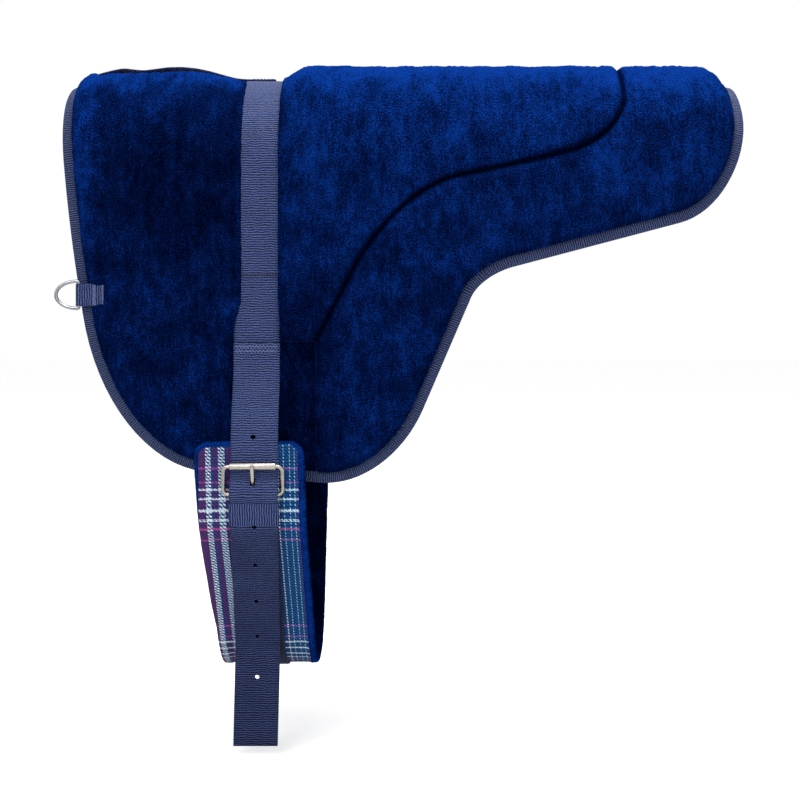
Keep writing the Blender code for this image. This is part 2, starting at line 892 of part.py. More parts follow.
def make_rings_and_tabs(webbing, steel):
    """A ring at each front edge, its straight side held in a fold of webbing."""
    lower = web_level + tab_thickness / 2
    upper = lower + tab_thickness + gap
    bar_height = (lower + upper) / 2
    fold_radius = ring_wire + bar_clearance + tab_thickness / 2
    flare = fold_radius + fold_radius
    fold = []
    for step in range(13):
        angle = math.pi * step / 12
        fold.append((-fold_radius * math.sin(angle), -fold_radius * math.cos(angle)))
    line = [(tab_end_x, lower), (ring_bar_x + flare, lower)]
    line += [(ring_bar_x + x, bar_height + n) for x, n in fold]
    line += [(ring_bar_x + flare, upper), (tab_end_x, upper)]

    half = ring_inner / 2 + ring_wire
    ring = [(0, -half + ring_corner), (0, half - ring_corner)]
    for step in range(1, 4):
        angle = math.pi / 2 * step / 3
        ring.append((-ring_corner * (1 - math.cos(angle)), half - ring_corner * (1 - math.sin(angle))))
    for step in range(1, 12):
        angle = math.pi * step / 12
        reach = ring_depth - ring_corner
        ring.append((-ring_corner - reach * math.sin(angle), half * math.cos(angle)))
    for step in range(0, 3):
        angle = math.pi / 2 * step / 3
        ring.append((-ring_corner * (1 - math.sin(angle)), -half + ring_corner * (1 - math.cos(angle))))

    for name, side in sides:
        bm = bmesh.new()
        rows = []
        for x, n in line:
            rows.append(
                [
                    bm.verts.new(on_flank(side, x, ring_drop + across, n))
                    for across in (-tab_width / 2, tab_width / 2)
                ]
            )
        for (a, b), (c, d) in zip(rows, rows[1:]):
            bm.faces.new((a, b, d, c))
        tab = finish_mesh(f"{name}_ring_tab", bm, webbing)
        solid = tab.modifiers.new("Thickness", "SOLIDIFY")
        solid.thickness = tab_thickness
        solid.offset = 0
        solid.use_even_offset = True

        place = on_flank(side, ring_bar_x, ring_drop, bar_height)
        points = [(side * x, y) for x, y in ring]
        wire(f"{name}_d_ring", points, ring_wire, steel, place, flank_turn(side), None)


# The girth


def girth_runs():
    """The run of the girth's inner face below the flank: its length between the bends, and its lowest z."""
    heading = Vector((math.cos(flank_heading), math.sin(flank_heading)))
    outward = Vector((heading.y, -heading.x))
    start = pad_path.at(girth_bend, girth_level)
    centre = start - outward * shoulder_radius
    end = centre - shoulder_radius * Vector((math.cos(girth_slope), math.sin(girth_slope)))
    run = (-end.x - loop_radius * math.cos(girth_slope)) / math.sin(girth_slope)
    lowest = end.y - run * math.cos(girth_slope) - loop_radius * (1 - math.sin(girth_slope))
    return run, lowest


slope_turn = math.pi - arch_angle - (math.pi / 2 - girth_slope)
loop_turn = math.pi / 2 - girth_slope
slope_run, girth_lowest = girth_runs()
girth_path = Path(
    (0, girth_lowest),
    math.pi,
    (
        (loop_radius * loop_turn, -loop_turn),
        (slope_run, 0),
        (shoulder_radius * slope_turn, -slope_turn),
        (girth_bend - girth_end, 0),
    ),
    -1,
)
girth_half = girth_path.creases[-1][0]


def lean_girth(bm):
    """Moves the girth sideways, so that it crosses under the horse at a slant."""
    for vert in bm.verts:
        share = vert.co.y / girth_half
        vert.co.x += girth_sway * (1 - abs(share)) - girth_lean * share


def make_girth(cover_cloth, fleece, felt):
    """The lining is a fleece tray that curls up round the core and its cover."""
    half = girth_width / 2
    edge = rectangle(-half, half, -girth_half, girth_half, girth_corner)
    bm = ringed([edge], (girth_rim_step, girth_rim - girth_rim_step, gap))

    def hollow(place):
        inside = distance_to(edge, place, True)
        if inside > girth_rim + gap / 2:
            return girth_lining_thickness
        rim = girth_face - girth_level
        if inside > girth_rim_step / 2:
            return rim - girth_side / 2 if inside < girth_rim - girth_rim_step / 2 else rim
        return rim / 2 + girth_side / 2

    def underside(place):
        inside = distance_to(edge, place, True)
        rim = girth_face - girth_level
        return rim / 2 - girth_side / 2 if inside < girth_rim_step / 2 else 0

    thicken(bm, underside, hollow)
    lean_girth(bm)
    drape(bm, girth_path)
    finish_mesh("girth_lining", bm, fleece)

    inner = inset(edge, girth_rim + gap + gap)
    for name, base, thickness, finish in (
        ("girth_core", girth_core_level, girth_core_thickness, felt),
        ("girth_cover", girth_cover_level, girth_cover_thickness, cover_cloth),
    ):
        bm = sheet(inner)
        thicken(bm, level(base - girth_level), level(base - girth_level + thickness))
        lean_girth(bm)
        drape(bm, girth_path)
        finish_mesh(name, bm, finish)


def web_half_line():
    """The girth's webbing from the middle of the loop up to the near buckle, round its bar and back down.

    Gives the line's y and z, and how far along the girth each of its points is.
    """
    centre = girth_web_level + web_thickness / 2
    line = []
    for distance, _, _ in girth_path.creases[:-1]:
        line.append((girth_path.at(distance, centre - girth_level), distance))
    bend = girth_half - (girth_bend - girth_end)
    bar = bend + girth_bend - buckle_bar
    radius = buckle_wire + bar_clearance + web_thickness / 2
    for step in range(13):
        angle = math.pi * (1 + fold_overturn_share) * step / 12
        out, up = bar_level - radius * math.cos(angle), radius * math.sin(angle)
        line.append((pad_path.at(buckle_bar - up, out), bar + up))
    fold = fold_level + web_thickness / 2
    line.append((pad_path.at(girth_bend, fold), bend))
    bend_angle = fold_length / (shoulder_radius + fold - girth_level)
    for distance, _, _ in reversed(girth_path.creases[:-1]):
        angle = (bend - distance) / shoulder_radius
        if 0 < angle < bend_angle:
            line.append((girth_path.at(distance, fold - girth_level), distance))
    return line


def make_girth_web(webbing):
    near = web_half_line()
    line = [Vector((-p.x, p.y)) for p, _ in reversed(near[1:])] + [p for p, _ in near]
    places = [-distance for _, distance in reversed(near[1:])] + [distance for _, distance in near]
    lean = [-web_lean * place / girth_half for place in places]
    web = ribbon("girth_web", line, strap_width, web_thickness, webbing, lean=lean)
    bm = bmesh.new()
    reach = loop_outer + overrun
    for _, side in sides:
        verts = box(bm, (slot_width, reach + reach, loop_outer + loop_outer + overrun))
        lift = overrun / 2
        place = on_flank(side, buckle_x(side), buckle_bar, bar_level + lift)
        turn_to_side(verts, bm, turned(flank_turn(side)), place)
    cut(web, add_cutter("prong_room", bm))


# Billets, tails and keepers


def strap_path(length):
    """The middle of the billet's webbing from the girth's bend down: along the girth, then hanging."""
    radius = shoulder_radius + kept_level - girth_level
    lower = max(0, length - radius * slope_turn - slope_run)
    bend = tail_bend_radius * girth_slope
    runs = [(radius * slope_turn, slope_turn), (slope_run, 0), (bend, -girth_slope), (lower, 0)]
    return Path(pad_path.at(girth_bend, kept_level), flank_heading, runs, 1)


def strap_line(path, start, end):
    """Points of the path from start to end, with one at each crease between."""
    places = [start, *(d for d, _, _ in path.creases if start + gap < d < end - gap), end]
    return [path.at(place) for place in places], places


def billet_line():
    """The billet from its seam on the surcingle to the girth's bend, as y and z on the near side."""
    on_surcingle = strap_level + billet_thickness / 2
    crossing_end = buckle_bar - crossing_start
    places = (
        (billet_top, on_surcingle),
        (billet_top + surcingle_lap + overrun, on_surcingle),
        (girth_end - overrun, behind_roller_level),
        (crossing_end - crossing_length, behind_roller_level),
        *eased(((crossing_end - crossing_length, behind_roller_level), (crossing_end, over_bar_level)), 6)[1:],
        (buckle_bar + overrun / 2, over_bar_level),
        *eased(((buckle_bar + overrun / 2, over_bar_level), (girth_bend, kept_level)), 2)[1:],
    )
    return [pad_path.at(t, n) for t, n in places]


def make_billets(webbing):
    for name, side in sides:
        length = tail_start + (tail_length if side > 0 else far_tail_length)
        path = strap_path(length)
        below, _ = strap_line(path, 0, tail_start - gap / 2)
        line = [Vector((side * p.x, p.y)) for p in billet_line() + below[1:]]
        billet = ribbon(f"{name}_billet", line, strap_width, billet_thickness, webbing)

        hang, places = strap_line(path, tail_start + gap / 2, length)
        line = [Vector((side * p.x, p.y)) for p in hang]
        lean = [-tail_lean * (place - tail_start) / tail_length for place in places]
        edge = path.at(tail_start, billet_thickness / 2)
        axis = add_axis(f"{name}_tail_axis", (0, side * edge.x, edge.y))
        tail = ribbon(
            f"{name}_billet_tail",
            line,
            strap_width,
            billet_thickness,
            webbing,
            axis.location,
            axis,
            lean,
        )
        punch(billet, tail, path, side, length, name)


def punch(billet, tail, path, side, length, name):
    """Holes at an even pitch down the billet and its tail, and the slot that the prong stands in."""
    bm = bmesh.new()
    above = buckle_bar - prong_slot_place - hole_pitch + prong_slot_width / 2
    hole = rod(bm, hole_radius, strap_width)
    turn_to_side(hole, bm, turned(flank_turn(side)), on_flank(side, buckle_x(side), above, over_bar_level))
    slot = box(bm, (prong_slot_width, prong_slot_length, prong_slot_depth))
    place = on_flank(side, buckle_x(side), buckle_bar - prong_slot_place, bar_level + prong_slot_height)
    turn_to_side(slot, bm, turned(flank_turn(side, prong_slot_tilt)), place)
    hole = rod(bm, hole_radius, strap_width / 2)
    place_hole(hole, bm, path, side, first_hole, 0)
    cut(billet, add_cutter(f"{name}_billet_holes", bm))

    bm = bmesh.new()
    for index in range(tail_holes):
        place = first_hole + hole_pitch * (index + 1)
        if place < length - hole_pitch / 2:
            hole = rod(bm, hole_radius, strap_width / 2)
            place_hole(hole, bm, path, side, place, -tail_lean * (place - tail_start) / tail_length)
    cut(tail, add_cutter(f"{name}_tail_holes", bm))


def place_hole(verts, bm, path, side, place, x):
    """Stands a rod square through the strap at a place along its path."""
    inner, outer = path.at(place, -billet_thickness), path.at(place, billet_thickness)
    out = Vector((0, side * (outer.x - inner.x), outer.y - inner.y))
    middle = path.at(place)
    turn = out.to_track_quat("Z", "Y").to_matrix()
    turn_to_side(verts, bm, turn, (x, side * middle.x, middle.y))


def make_keepers(webbing):
    """A band of webbing that goes right round the billet, just below the buckle."""
    half_width = strap_width / 2 + gap + keeper_thickness / 2
    half_height = billet_thickness / 2 + gap + keeper_thickness / 2
    loop = ((-half_width, -half_height), (half_width, -half_height))
    loop += ((half_width, half_height), (-half_width, half_height))
    for name, side in sides:
        path = strap_path(tail_start + tail_length)
        _, places = strap_line(path, keeper_start, keeper_start + keeper_length)
        bm = bmesh.new()
        rows = []
        for place in places:
            row = []
            for x, height in loop:
                y, z = path.at(place, height)
                row.append(bm.verts.new((x, side * y, z)))
            rows.append(row)
        for row, following in zip(rows, rows[1:]):
            for i in range(len(loop)):
                bm.faces.new((row[i - 1], row[i], following[i], following[i - 1]))
        keeper = finish_mesh(f"{name}_keeper", bm, webbing)
        solid = keeper.modifiers.new("Thickness", "SOLIDIFY")
        solid.thickness = keeper_thickness
        solid.offset = 0
        solid.use_even_offset = True


# Roller buckles


def frame_points():
    """The buckle's wire on its centre line, from the middle of the lower bar, which is the origin."""
    half, top = buckle_half_width, buckle_height
    outline = rectangle(-half, half, 0, top, buckle_corner)
    return [(p.x, p.y) for p in outline]


def prong_outline():
    """The prong seen along its pivot: an eye round the bar, and a finger that lies on the roller."""
    line = [Vector((up, out)) * buckle_height for up, out in prong_line_shares]
    upper, lower = [], []
    for index, point in enumerate(line):
        before = line[max(0, index - 1)]
        after = line[min(len(line) - 1, index + 1)]
        across = (after - before).normalized()
        across = Vector((-across.y, across.x)) * (prong_half - prong_round)
        upper.append(point + across)
        lower.append(point - across)
    reach = prong_eye - prong_round
    eye = []
    spread = math.asin((prong_half - prong_round) / reach)
    for step in range(17):
        angle = spread + (math.tau - spread - spread) * step / 16
        eye.append(Vector((math.cos(angle), math.sin(angle))) * reach)
    tip = line[-1] + (line[-1] - line[-2]).normalized() * (prong_half - prong_round)
    return lower[1:] + [tip] + list(reversed(upper[1:])) + eye


def make_prong(name, brass, axis, rotation):
    curve = bpy.data.curves.new(name, "CURVE")
    curve.dimensions = "2D"
    curve.fill_mode = "BOTH"
    curve.extrude = prong_eye_width / 2 - prong_round
    curve.bevel_depth = prong_round
    curve.bevel_resolution = 0
    bore = buckle_wire + roller_bore_clearance + prong_round
    hole = []
    for step in range(16):
        angle = math.tau * step / 16
        hole.append(Vector((math.cos(angle), math.sin(angle))) * bore)
    for points in (prong_outline(), hole):
        spline = curve.splines.new("POLY")
        spline.points.add(len(points) - 1)
        for target, point in zip(spline.points, points):
            target.co = (point.x, point.y, 0, 1)
        spline.use_cyclic_u = True
    made = add_object(name, curve, brass, parent_place(axis), axis)
    made.rotation_euler = rotation
    return made


def make_buckles(nickel):
    for name, side in sides:
        bar = on_flank(side, buckle_x(side), buckle_bar, bar_level)
        axis = add_axis(f"{name}_buckle_axis", bar)
        stand = flank_turn(side, buckle_tilt)
        wire(f"{name}_buckle_frame", frame_points(), buckle_wire, nickel, bar, stand, axis)

        up = turned(stand) @ Vector((0, buckle_height, 0))
        roller_place = bar + up
        bm = bmesh.new()
        bore = buckle_wire + roller_bore_clearance
        profile = ((bore, -1), (roller_radius, -1), (roller_radius, 1), (bore, 1))
        rows = [bm.verts.new((end * roller_length / 2, radius, 0)) for radius, end in profile]
        for first, second in zip(rows, rows[1:] + rows[:1]):
            bm.edges.new((first, second))
        bmesh.ops.spin(
            bm,
            geom=bm.verts[:] + bm.edges[:],
            cent=(0, 0, 0),
            axis=(1, 0, 0),
            angle=math.tau,
            steps=20,
            use_merge=True,
            use_duplicate=False,
        )
        bmesh.ops.recalc_face_normals(bm, faces=bm.faces[:])
        mesh = bpy.data.meshes.new(f"{name}_roller")
        bm.to_mesh(mesh)
        bm.free()
        mesh.shade_smooth()
        roller = add_object(f"{name}_roller", mesh, nickel, roller_place, axis)
        roller.rotation_euler = stand

        # The prong is drawn across its pivot, so it is first turned to look along x
        upright = turned(stand) @ turned((math.pi / 2, 0, math.pi / 2))
        make_prong(f"{name}_prong", nickel, axis, upright.to_euler())


def clear_scene():
    for item in list(bpy.data.objects):
        bpy.data.objects.remove(item, do_unlink=True)


def main():
    clear_scene()
    collection(object_name)
    collection("cutters", shown=False)
    fleece = material("navy fleece", (0.004, 0.016, 0.13), 0.95)
    canvas = material("navy canvas", (0.012, 0.018, 0.075), 0.85)
    felt = material("grey felt", (0.22, 0.22, 0.24), 0.95)
    foam = material("white foam", (0.62, 0.62, 0.58), 0.9)
    tape = material("slate navy tape", (0.035, 0.04, 0.11), 0.7)
    webbing = material("slate navy webbing", (0.055, 0.06, 0.16), 0.6)
    plaid = material("blue and violet plaid cloth", (0.08, 0.16, 0.33), 0.8)
    steel = material("bright steel", (0.62, 0.62, 0.64), 0.22, 1.0)
    nickel = material("satin nickel", (0.60, 0.57, 0.50), 0.38, 1.0)

    outline = pad_outline()
    make_lining_and_core(outline, canvas, felt)
    make_binding(outline, tape)
    make_front_fleece(outline, fleece)
    make_rear_panels(outline, fleece, foam)
    make_patches(outline, fleece)
    make_surcingle(webbing)
    make_handle(webbing)
    make_rings_and_tabs(webbing, steel)
    make_girth(plaid, fleece, felt)
    make_girth_web(webbing)
    make_billets(webbing)
    make_keepers(webbing)
    make_buckles(nickel)


main()
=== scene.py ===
import math

import bmesh
import bpy
import numpy as np
from mathutils import Euler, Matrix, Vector
from mathutils.kdtree import KDTree


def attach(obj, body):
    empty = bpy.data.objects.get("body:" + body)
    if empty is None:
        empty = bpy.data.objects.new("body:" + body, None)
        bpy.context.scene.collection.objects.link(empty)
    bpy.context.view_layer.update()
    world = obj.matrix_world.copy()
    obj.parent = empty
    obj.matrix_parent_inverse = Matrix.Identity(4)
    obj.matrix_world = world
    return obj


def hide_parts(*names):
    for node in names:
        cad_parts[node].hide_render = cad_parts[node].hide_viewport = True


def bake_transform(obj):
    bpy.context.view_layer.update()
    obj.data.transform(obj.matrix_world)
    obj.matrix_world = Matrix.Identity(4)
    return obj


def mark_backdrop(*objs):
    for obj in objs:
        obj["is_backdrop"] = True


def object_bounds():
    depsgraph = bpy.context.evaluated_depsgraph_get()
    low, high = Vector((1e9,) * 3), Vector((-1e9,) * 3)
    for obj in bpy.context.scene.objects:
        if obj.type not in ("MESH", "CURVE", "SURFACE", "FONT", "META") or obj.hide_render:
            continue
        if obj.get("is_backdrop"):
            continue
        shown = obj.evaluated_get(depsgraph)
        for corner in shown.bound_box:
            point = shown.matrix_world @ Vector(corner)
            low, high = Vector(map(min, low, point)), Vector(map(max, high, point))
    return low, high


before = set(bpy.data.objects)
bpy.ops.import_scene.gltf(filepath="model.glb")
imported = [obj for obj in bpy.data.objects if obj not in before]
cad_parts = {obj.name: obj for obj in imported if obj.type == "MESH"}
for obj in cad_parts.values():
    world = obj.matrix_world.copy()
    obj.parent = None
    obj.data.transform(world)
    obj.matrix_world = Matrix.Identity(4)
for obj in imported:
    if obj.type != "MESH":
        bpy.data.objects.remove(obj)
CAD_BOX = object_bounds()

bl_info = {
    "name": "Bareback pad",
    "version": (1, 0, 0),
    "blender": (4, 5, 0),
    "location": "3D View > Sidebar > Bareback pad",
    "description": "Dresses the plain solids of a bareback pad and its girth in plush, webbing, plaid and metal",
    "category": "Object",
}

# Sizes that the solids have too, in metres. x runs towards the tail, t runs down from the spine and is positive
# on the near side, and n is the height above the pad's inner face
SIDES = (("near", 1), ("far", -1))
GAP = 0.0003
BACK_RADIUS = 0.095
ARCH = math.radians(85)
ARCH_RUN = BACK_RADIUS * ARCH
FRONT, REAR, DROP = 0.2175, 0.5345, 0.499
OUTLINE_SHARES = (
    (-1.0, 0.281, 0.180, 0.250),
    (-0.765, 0.942, 0.330, 0.220),
    (0.268, 1.0, 0.150, 0.190),
    (0.456, 0.532, 0.052, 0.075),
    (1.0, 0.378, 0.150, 0.205),
)
SEAM_SHARES = ((0.282, 0.347, 0.195, 0.137), (0.748, 0.241, 0.117, 0.088))
SEAM_END_SHARE = 0.758
PULL_SHARE = 0.58
BINDING_LEG, BINDING_THICKNESS = 0.0133, 0.001
BINDING_TOP, BINDING_UNDER = 0.0068, -0.0013
CORE_BASE, CORE_EDGE, CORE, CORE_SHOULDER = 0.0018, 0.0037, 0.010, 0.0216
FRONT_PILE, REAR_PILE, FOAM, FOAM_EDGE = 0.010, 0.012, 0.0065, 0.002
STRAP, WEB, BILLET = 0.0508, 0.002, 0.0028
WEB_LEVEL, STRAP_LEVEL = 0.0121, 0.0144
BILLET_TOP, LAP = 0.3395, 0.026
PATCH_TOP, PATCH_REACH, PATCH_UNDER = 0.3375, 0.065, 0.389
HANDLE_WIDTH, HANDLE_THICKNESS, HANDLE_HEIGHT = 0.025, 0.002, 0.0305
RING_DROP, RING_BAR_X, RING_WIRE, RING_DEPTH, RING_INNER = 0.2875, -0.1935, 0.002, 0.025, 0.0254
RING_LEVEL, RING_CORNER = 0.01355, 0.0024
TAB_WIDTH, TAB, TAB_END = 0.0244, 0.0013, -0.1645
GIRTH_HALF_WIDTH, GIRTH_END, GIRTH_BEND, GIRTH_CORNER = 0.059, 0.4445, 0.511, 0.018
GIRTH_LEVEL, GIRTH_RIM_HEIGHT, GIRTH_RIM, GIRTH_LINING = 0.0224, 0.0138, 0.008, 0.007
GIRTH_LEAN, GIRTH_SWAY, WEB_LEAN = 0.0045, 0.003, 0.0016
SHOULDER_RADIUS, SLOPE, LOOP_RADIUS = 0.050, math.radians(27.7), 0.088
GIRTH_WEB_LEVEL = 0.0365
BAR, BUCKLE_HEIGHT, BUCKLE_HALF, BUCKLE_CORNER, BUCKLE_WIRE = 0.5028, 0.030, 0.0315, 0.0055, 0.00215
BAR_LEVEL, BUCKLE_TILT = 0.041, math.radians(5.547254)
ROLLER_RADIUS, ROLLER_LENGTH = 0.004, 0.049
KEPT_LEVEL, OVER_BAR, BEHIND_ROLLER = 0.0438, 0.0472, 0.0382
TAIL_START, TAIL_LENGTH, FAR_TAIL, TAIL_LEAN, TAIL_BEND = 0.0315, 0.279, 0.140, 0.009, 0.060
HOLE_RADIUS, HOLE_PITCH, FIRST_HOLE = 0.0025, 0.051, 0.0265
KEEPER_START, KEEPER_LENGTH, KEEPER = 0.001, 0.024, 0.001
PRONG_SLOT_PLACE, PRONG_SLOT_TILT = 0.0130, math.radians(24)
FINGER_GAP_LOW = 0.0219
# Spacings of points along lines, and across the sheets that nothing shows
SPACING, HIDDEN_GRID = 0.003, 0.006
# The handle's width is bent to this radius
HANDLE_BOW = BACK_RADIUS + 0.02
# How far down the surcingle is sewn to each billet, and the boxes cut for the prong out of the billet and the girth's
# webbing, across, along and through them
JOIN_DROP = 0.266
PRONG_SLOT, FOLD_SLOT = (0.0054, 0.019, 0.0074), (0.0062, 0.0135, 0.0125)
# The part of a stitch's length in which its thread shows
THREAD_SPAN = (0.1, 0.85)


def linear(code):
    """An sRGB hex colour as the linear red, green and blue that Blender wants."""
    parts = [int(code[i : i + 2], 16) / 255 for i in (1, 3, 5)]
    return tuple(c / 12.92 if c <= 0.04045 else ((c + 0.055) / 1.055) ** 2.4 for c in parts)


# Lines and places


def unit(vectors):
    """One vector, or each of several, made 1 long."""
    lengths = np.linalg.norm(vectors, axis=1)[:, None] if vectors.ndim > 1 else np.linalg.norm(vectors)
    return vectors / np.maximum(lengths, 1e-9)


def smooth(share):
    """From 0 to 1 with the share, level at both ends."""
    return share * share * (3 - 2 * share)


def drape(x, t, n):
    """World places of points of the pad, from arrays or numbers."""
    x, t, n = np.broadcast_arrays(*(np.asarray(v, float) for v in (x, t, n)))
    angle = np.minimum(np.abs(t) / BACK_RADIUS, ARCH)
    below = np.maximum(np.abs(t) - ARCH_RUN, 0)
    radius = BACK_RADIUS + n
    y = -np.sign(t) * (radius * np.sin(angle) + below * np.cos(angle))
    z = radius * np.cos(angle) - BACK_RADIUS - below * np.sin(angle)
    return np.stack([x, y, z], -1)


class Course:
    """A smooth line in the plane across the horse, of straight runs and arcs. hand is 1 with outwards on its right."""

    def __init__(self, start, heading, runs, hand):
        self.hand, self.parts = hand, []
        done, point, angle = 0.0, np.array(start, float), heading
        for length, turn in runs:
            self.parts.append((done, point, angle, turn / length if length else 0))
            point = self.step(point, angle, turn / length if length else 0, length)
            done, angle = done + length, angle + turn
        self.length = done

    @staticmethod
    def step(point, angle, bend, distance):
        if abs(bend) < 1e-9:
            return point + distance * np.array((math.cos(angle), math.sin(angle)))
        end = angle + bend * distance
        return point + np.array((math.sin(end) - math.sin(angle), math.cos(angle) - math.cos(end))) / bend

    def at(self, distance, height=0.0):
        part = [p for p in self.parts if p[0] <= distance] or self.parts[:1]
        start, point, angle, bend = part[-1]
        place = self.step(point, angle, bend, distance - start)
        heading = angle + bend * (distance - start)
        return place + height * self.hand * np.array((math.sin(heading), -math.cos(heading)))


def flank(t, n):
    """y and z of a place on the near side."""
    return drape(0, t, n)[..., 1:]


SLOPE_TURN = math.pi / 2 - ARCH + SLOPE
LOOP_TURN = math.pi / 2 - SLOPE
_shoulder = flank(GIRTH_BEND, GIRTH_LEVEL - SHOULDER_RADIUS)
_shoulder_end = _shoulder - SHOULDER_RADIUS * np.array((math.cos(SLOPE), math.sin(SLOPE)))
SLOPE_RUN = (-_shoulder_end[0] - LOOP_RADIUS * math.cos(SLOPE)) / math.sin(SLOPE)
GIRTH_LOWEST = _shoulder_end[1] - SLOPE_RUN * math.cos(SLOPE) - LOOP_RADIUS * (1 - math.sin(SLOPE))
GIRTH = Course(
    (0, GIRTH_LOWEST),
    math.pi,
    (
        (LOOP_RADIUS * LOOP_TURN, -LOOP_TURN),
        (SLOPE_RUN, 0),
        (SHOULDER_RADIUS * SLOPE_TURN, -SLOPE_TURN),
        (GIRTH_BEND - GIRTH_END, 0),
    ),
    -1,
)
GIRTH_HALF = GIRTH.length


def on_girth(x, s, n, lean=GIRTH_LEAN, sway=GIRTH_SWAY):
    """World places on the girth, where s runs from the middle of its loop and is positive on the near side."""
    places = []
    for across, along, height in zip(*(np.ravel(v) for v in np.broadcast_arrays(x, s, n))):
        y, z = GIRTH.at(abs(along), height)
        share = along / GIRTH_HALF
        places.append((across + sway * (1 - abs(share)) - lean * share, math.copysign(1, along) * y, z))
    return np.array(places)


def strap_course(length):
    """The billet's middle from the girth's bend down: round with the girth, then hanging."""
    radius = SHOULDER_RADIUS + KEPT_LEVEL - GIRTH_LEVEL
    lower = max(0.001, length - radius * SLOPE_TURN - SLOPE_RUN)
    runs = [(radius * SLOPE_TURN, SLOPE_TURN), (SLOPE_RUN, 0), (TAIL_BEND * SLOPE, -SLOPE), (lower, 0)]
    return Course(flank(GIRTH_BEND, KEPT_LEVEL), math.pi + ARCH, runs, 1)


def rounded(corners, roundings, steps=16):
    """The points of a line through corners, with each inner corner rounded by the lengths given."""
    line = [corners[0]]
    for before, corner, after, (back, ahead) in zip(corners, corners[1:], corners[2:], roundings):
        into, out = unit(corner - before), unit(after - corner)
        start, end = corner - into * back, corner + out * ahead
        first, last = start + (corner - start) * PULL_SHARE, end + (corner - end) * PULL_SHARE
        for step in range(steps + 1):
            a, b = step / steps, 1 - step / steps
            line.append(start * b**3 + first * 3 * b * b * a + last * 3 * b * a * a + end * a**3)
    return np.array(line + [corners[-1]])


def runs_along(line):
    """How far each point of a line is from its start."""
    return np.r_[0, np.cumsum(np.linalg.norm(np.diff(line, axis=0), axis=1))]


def resampled(line, spacing, closed=False):
    """The line with points at an even spacing."""
    line = np.asarray(line, float)
    if closed:
        line = np.vstack([line, line[:1]])
    runs = runs_along(line)
    count = max(2, round(runs[-1] / spacing))
    at = np.linspace(0, runs[-1], count + 1)[: -1 if closed else None]
    return np.stack([np.interp(at, runs, line[:, i]) for i in range(line.shape[1])], -1)


def softened(line, spacing, rounds):
    """An even line whose corners are worn round, with its ends kept."""
    line = resampled(line, spacing)
    for _ in range(rounds):
        line[1:-1] = (line[:-2] + 2 * line[1:-1] + line[2:]) / 4
    return line


def from_shares(rows):
    corners = [np.array((abs(x) * (REAR if x > 0 else -FRONT), t * DROP)) for x, t, _, _ in rows]
    return corners, [(before * DROP, after * DROP) for _, _, before, after in rows]


def both_sides(line):
    return np.vstack([line, line[-2:0:-1] * (1, -1)])


def pad_outline():
    corners, roundings = from_shares(OUTLINE_SHARES)
    ends = np.array((-FRONT, 0.0)), np.array((REAR, 0.0))
    return resampled(both_sides(rounded([ends[0], *corners, ends[1]], roundings)), SPACING, closed=True)


def quilt_seam():
    corners, roundings = from_shares(SEAM_SHARES)
    near = rounded([np.array((PATCH_REACH, PATCH_TOP)), *corners, np.array((SEAM_END_SHARE * REAR, 0.0))], roundings)
    return resampled(np.vstack([near, near[-2::-1] * (1, -1)]), SPACING)


def area_in(outline):
    """The area in a closed outline, negative when it runs clockwise."""
    after = np.roll(outline, -1, 0)
    return float(np.sum(outline[:, 0] * after[:, 1] - after[:, 0] * outline[:, 1]) / 2)


def inward(outline):
    """Unit vectors at the points of a closed outline, into it."""
    along = np.roll(outline, -1, 0) - np.roll(outline, 1, 0)
    return unit(np.stack([-along[:, 1], along[:, 0]], -1) * math.copysign(1, area_in(outline)))


def nearest(points, line, closed=True):
    """For each point, its distance to the line and the closest place on it."""
    dense = []
    for here, there in zip(line, np.roll(line, -1, 0) if closed else line[1:]):
        count = max(1, math.ceil(np.linalg.norm(there - here) / SPACING))
        dense += [here + (there - here) * k / count for k in range(count)]
    if not closed:
        dense.append(line[-1])
    dense = np.array(dense)
    tree = KDTree(len(dense))
    for number, (x, t) in enumerate(dense):
        tree.insert((x, t, 0), number)
    tree.balance()
    closest = np.array([tree.find((x, t, 0))[1] for x, t in points])
    distance, place = np.full(len(points), 1e9), np.empty_like(points)
    for offset in (-2, -1, 0, 1):
        at = (closest + offset) % len(dense) if closed else np.clip(closest + offset, 0, len(dense) - 2)
        starts, ends = dense[at], dense[(at + 1) % len(dense)]
        edges = ends - starts
        square = np.maximum((edges**2).sum(1), 1e-18)
        share = np.clip(((points - starts) * edges).sum(1) / square, 0, 1)
        on_line = starts + share[:, None] * edges
        gaps = np.linalg.norm(points - on_line, axis=1)
        better = gaps < distance
        distance[better], place[better] = gaps[better], on_line[better]
    return distance, place


def inside(points, outline):
    """Which points are inside a closed outline."""
    found = np.zeros(len(points), bool)
    for (x0, t0), (x1, t1) in zip(outline, np.roll(outline, -1, 0)):
        if t0 != t1:
            crosses = (points[:, 1] > t0) != (points[:, 1] > t1)
            found ^= crosses & (points[:, 0] < x0 + (points[:, 1] - t0) / (t1 - t0) * (x1 - x0))
    return found


def rough(x, t, size, seed, stretch=1.0):
    """Smooth noise from -1 to 1 with lumps of about that size, longer along t by the stretch."""
    lattice = np.random.default_rng(seed).uniform(-1, 1, (256, 256))
    u, v = x / size + 1000.37, t / (size * stretch) + 1000.71
    i, j = np.floor(u).astype(int), np.floor(v).astype(int)
    a, b = smooth(u - i), smooth(v - j)
    i0, i1, j0, j1 = i % 256, (i + 1) % 256, j % 256, (j + 1) % 256
    low = lattice[i0, j0] * (1 - a) + lattice[i1, j0] * a
    high = lattice[i0, j1] * (1 - a) + lattice[i1, j1] * a
    return low * (1 - b) + high * b


def eased(share):
    return np.sin(np.clip(share, 0, 1) * math.pi / 2)


def rising(value, reach):
    """0 at no value, 1 at the reach and past it."""
    return np.clip(value / reach, 0, 1)


def fading(value, reach, full=1.0):
    """full at no value, and down to 0, but never over 1."""
    return np.clip(full - value / reach, 0, 1)


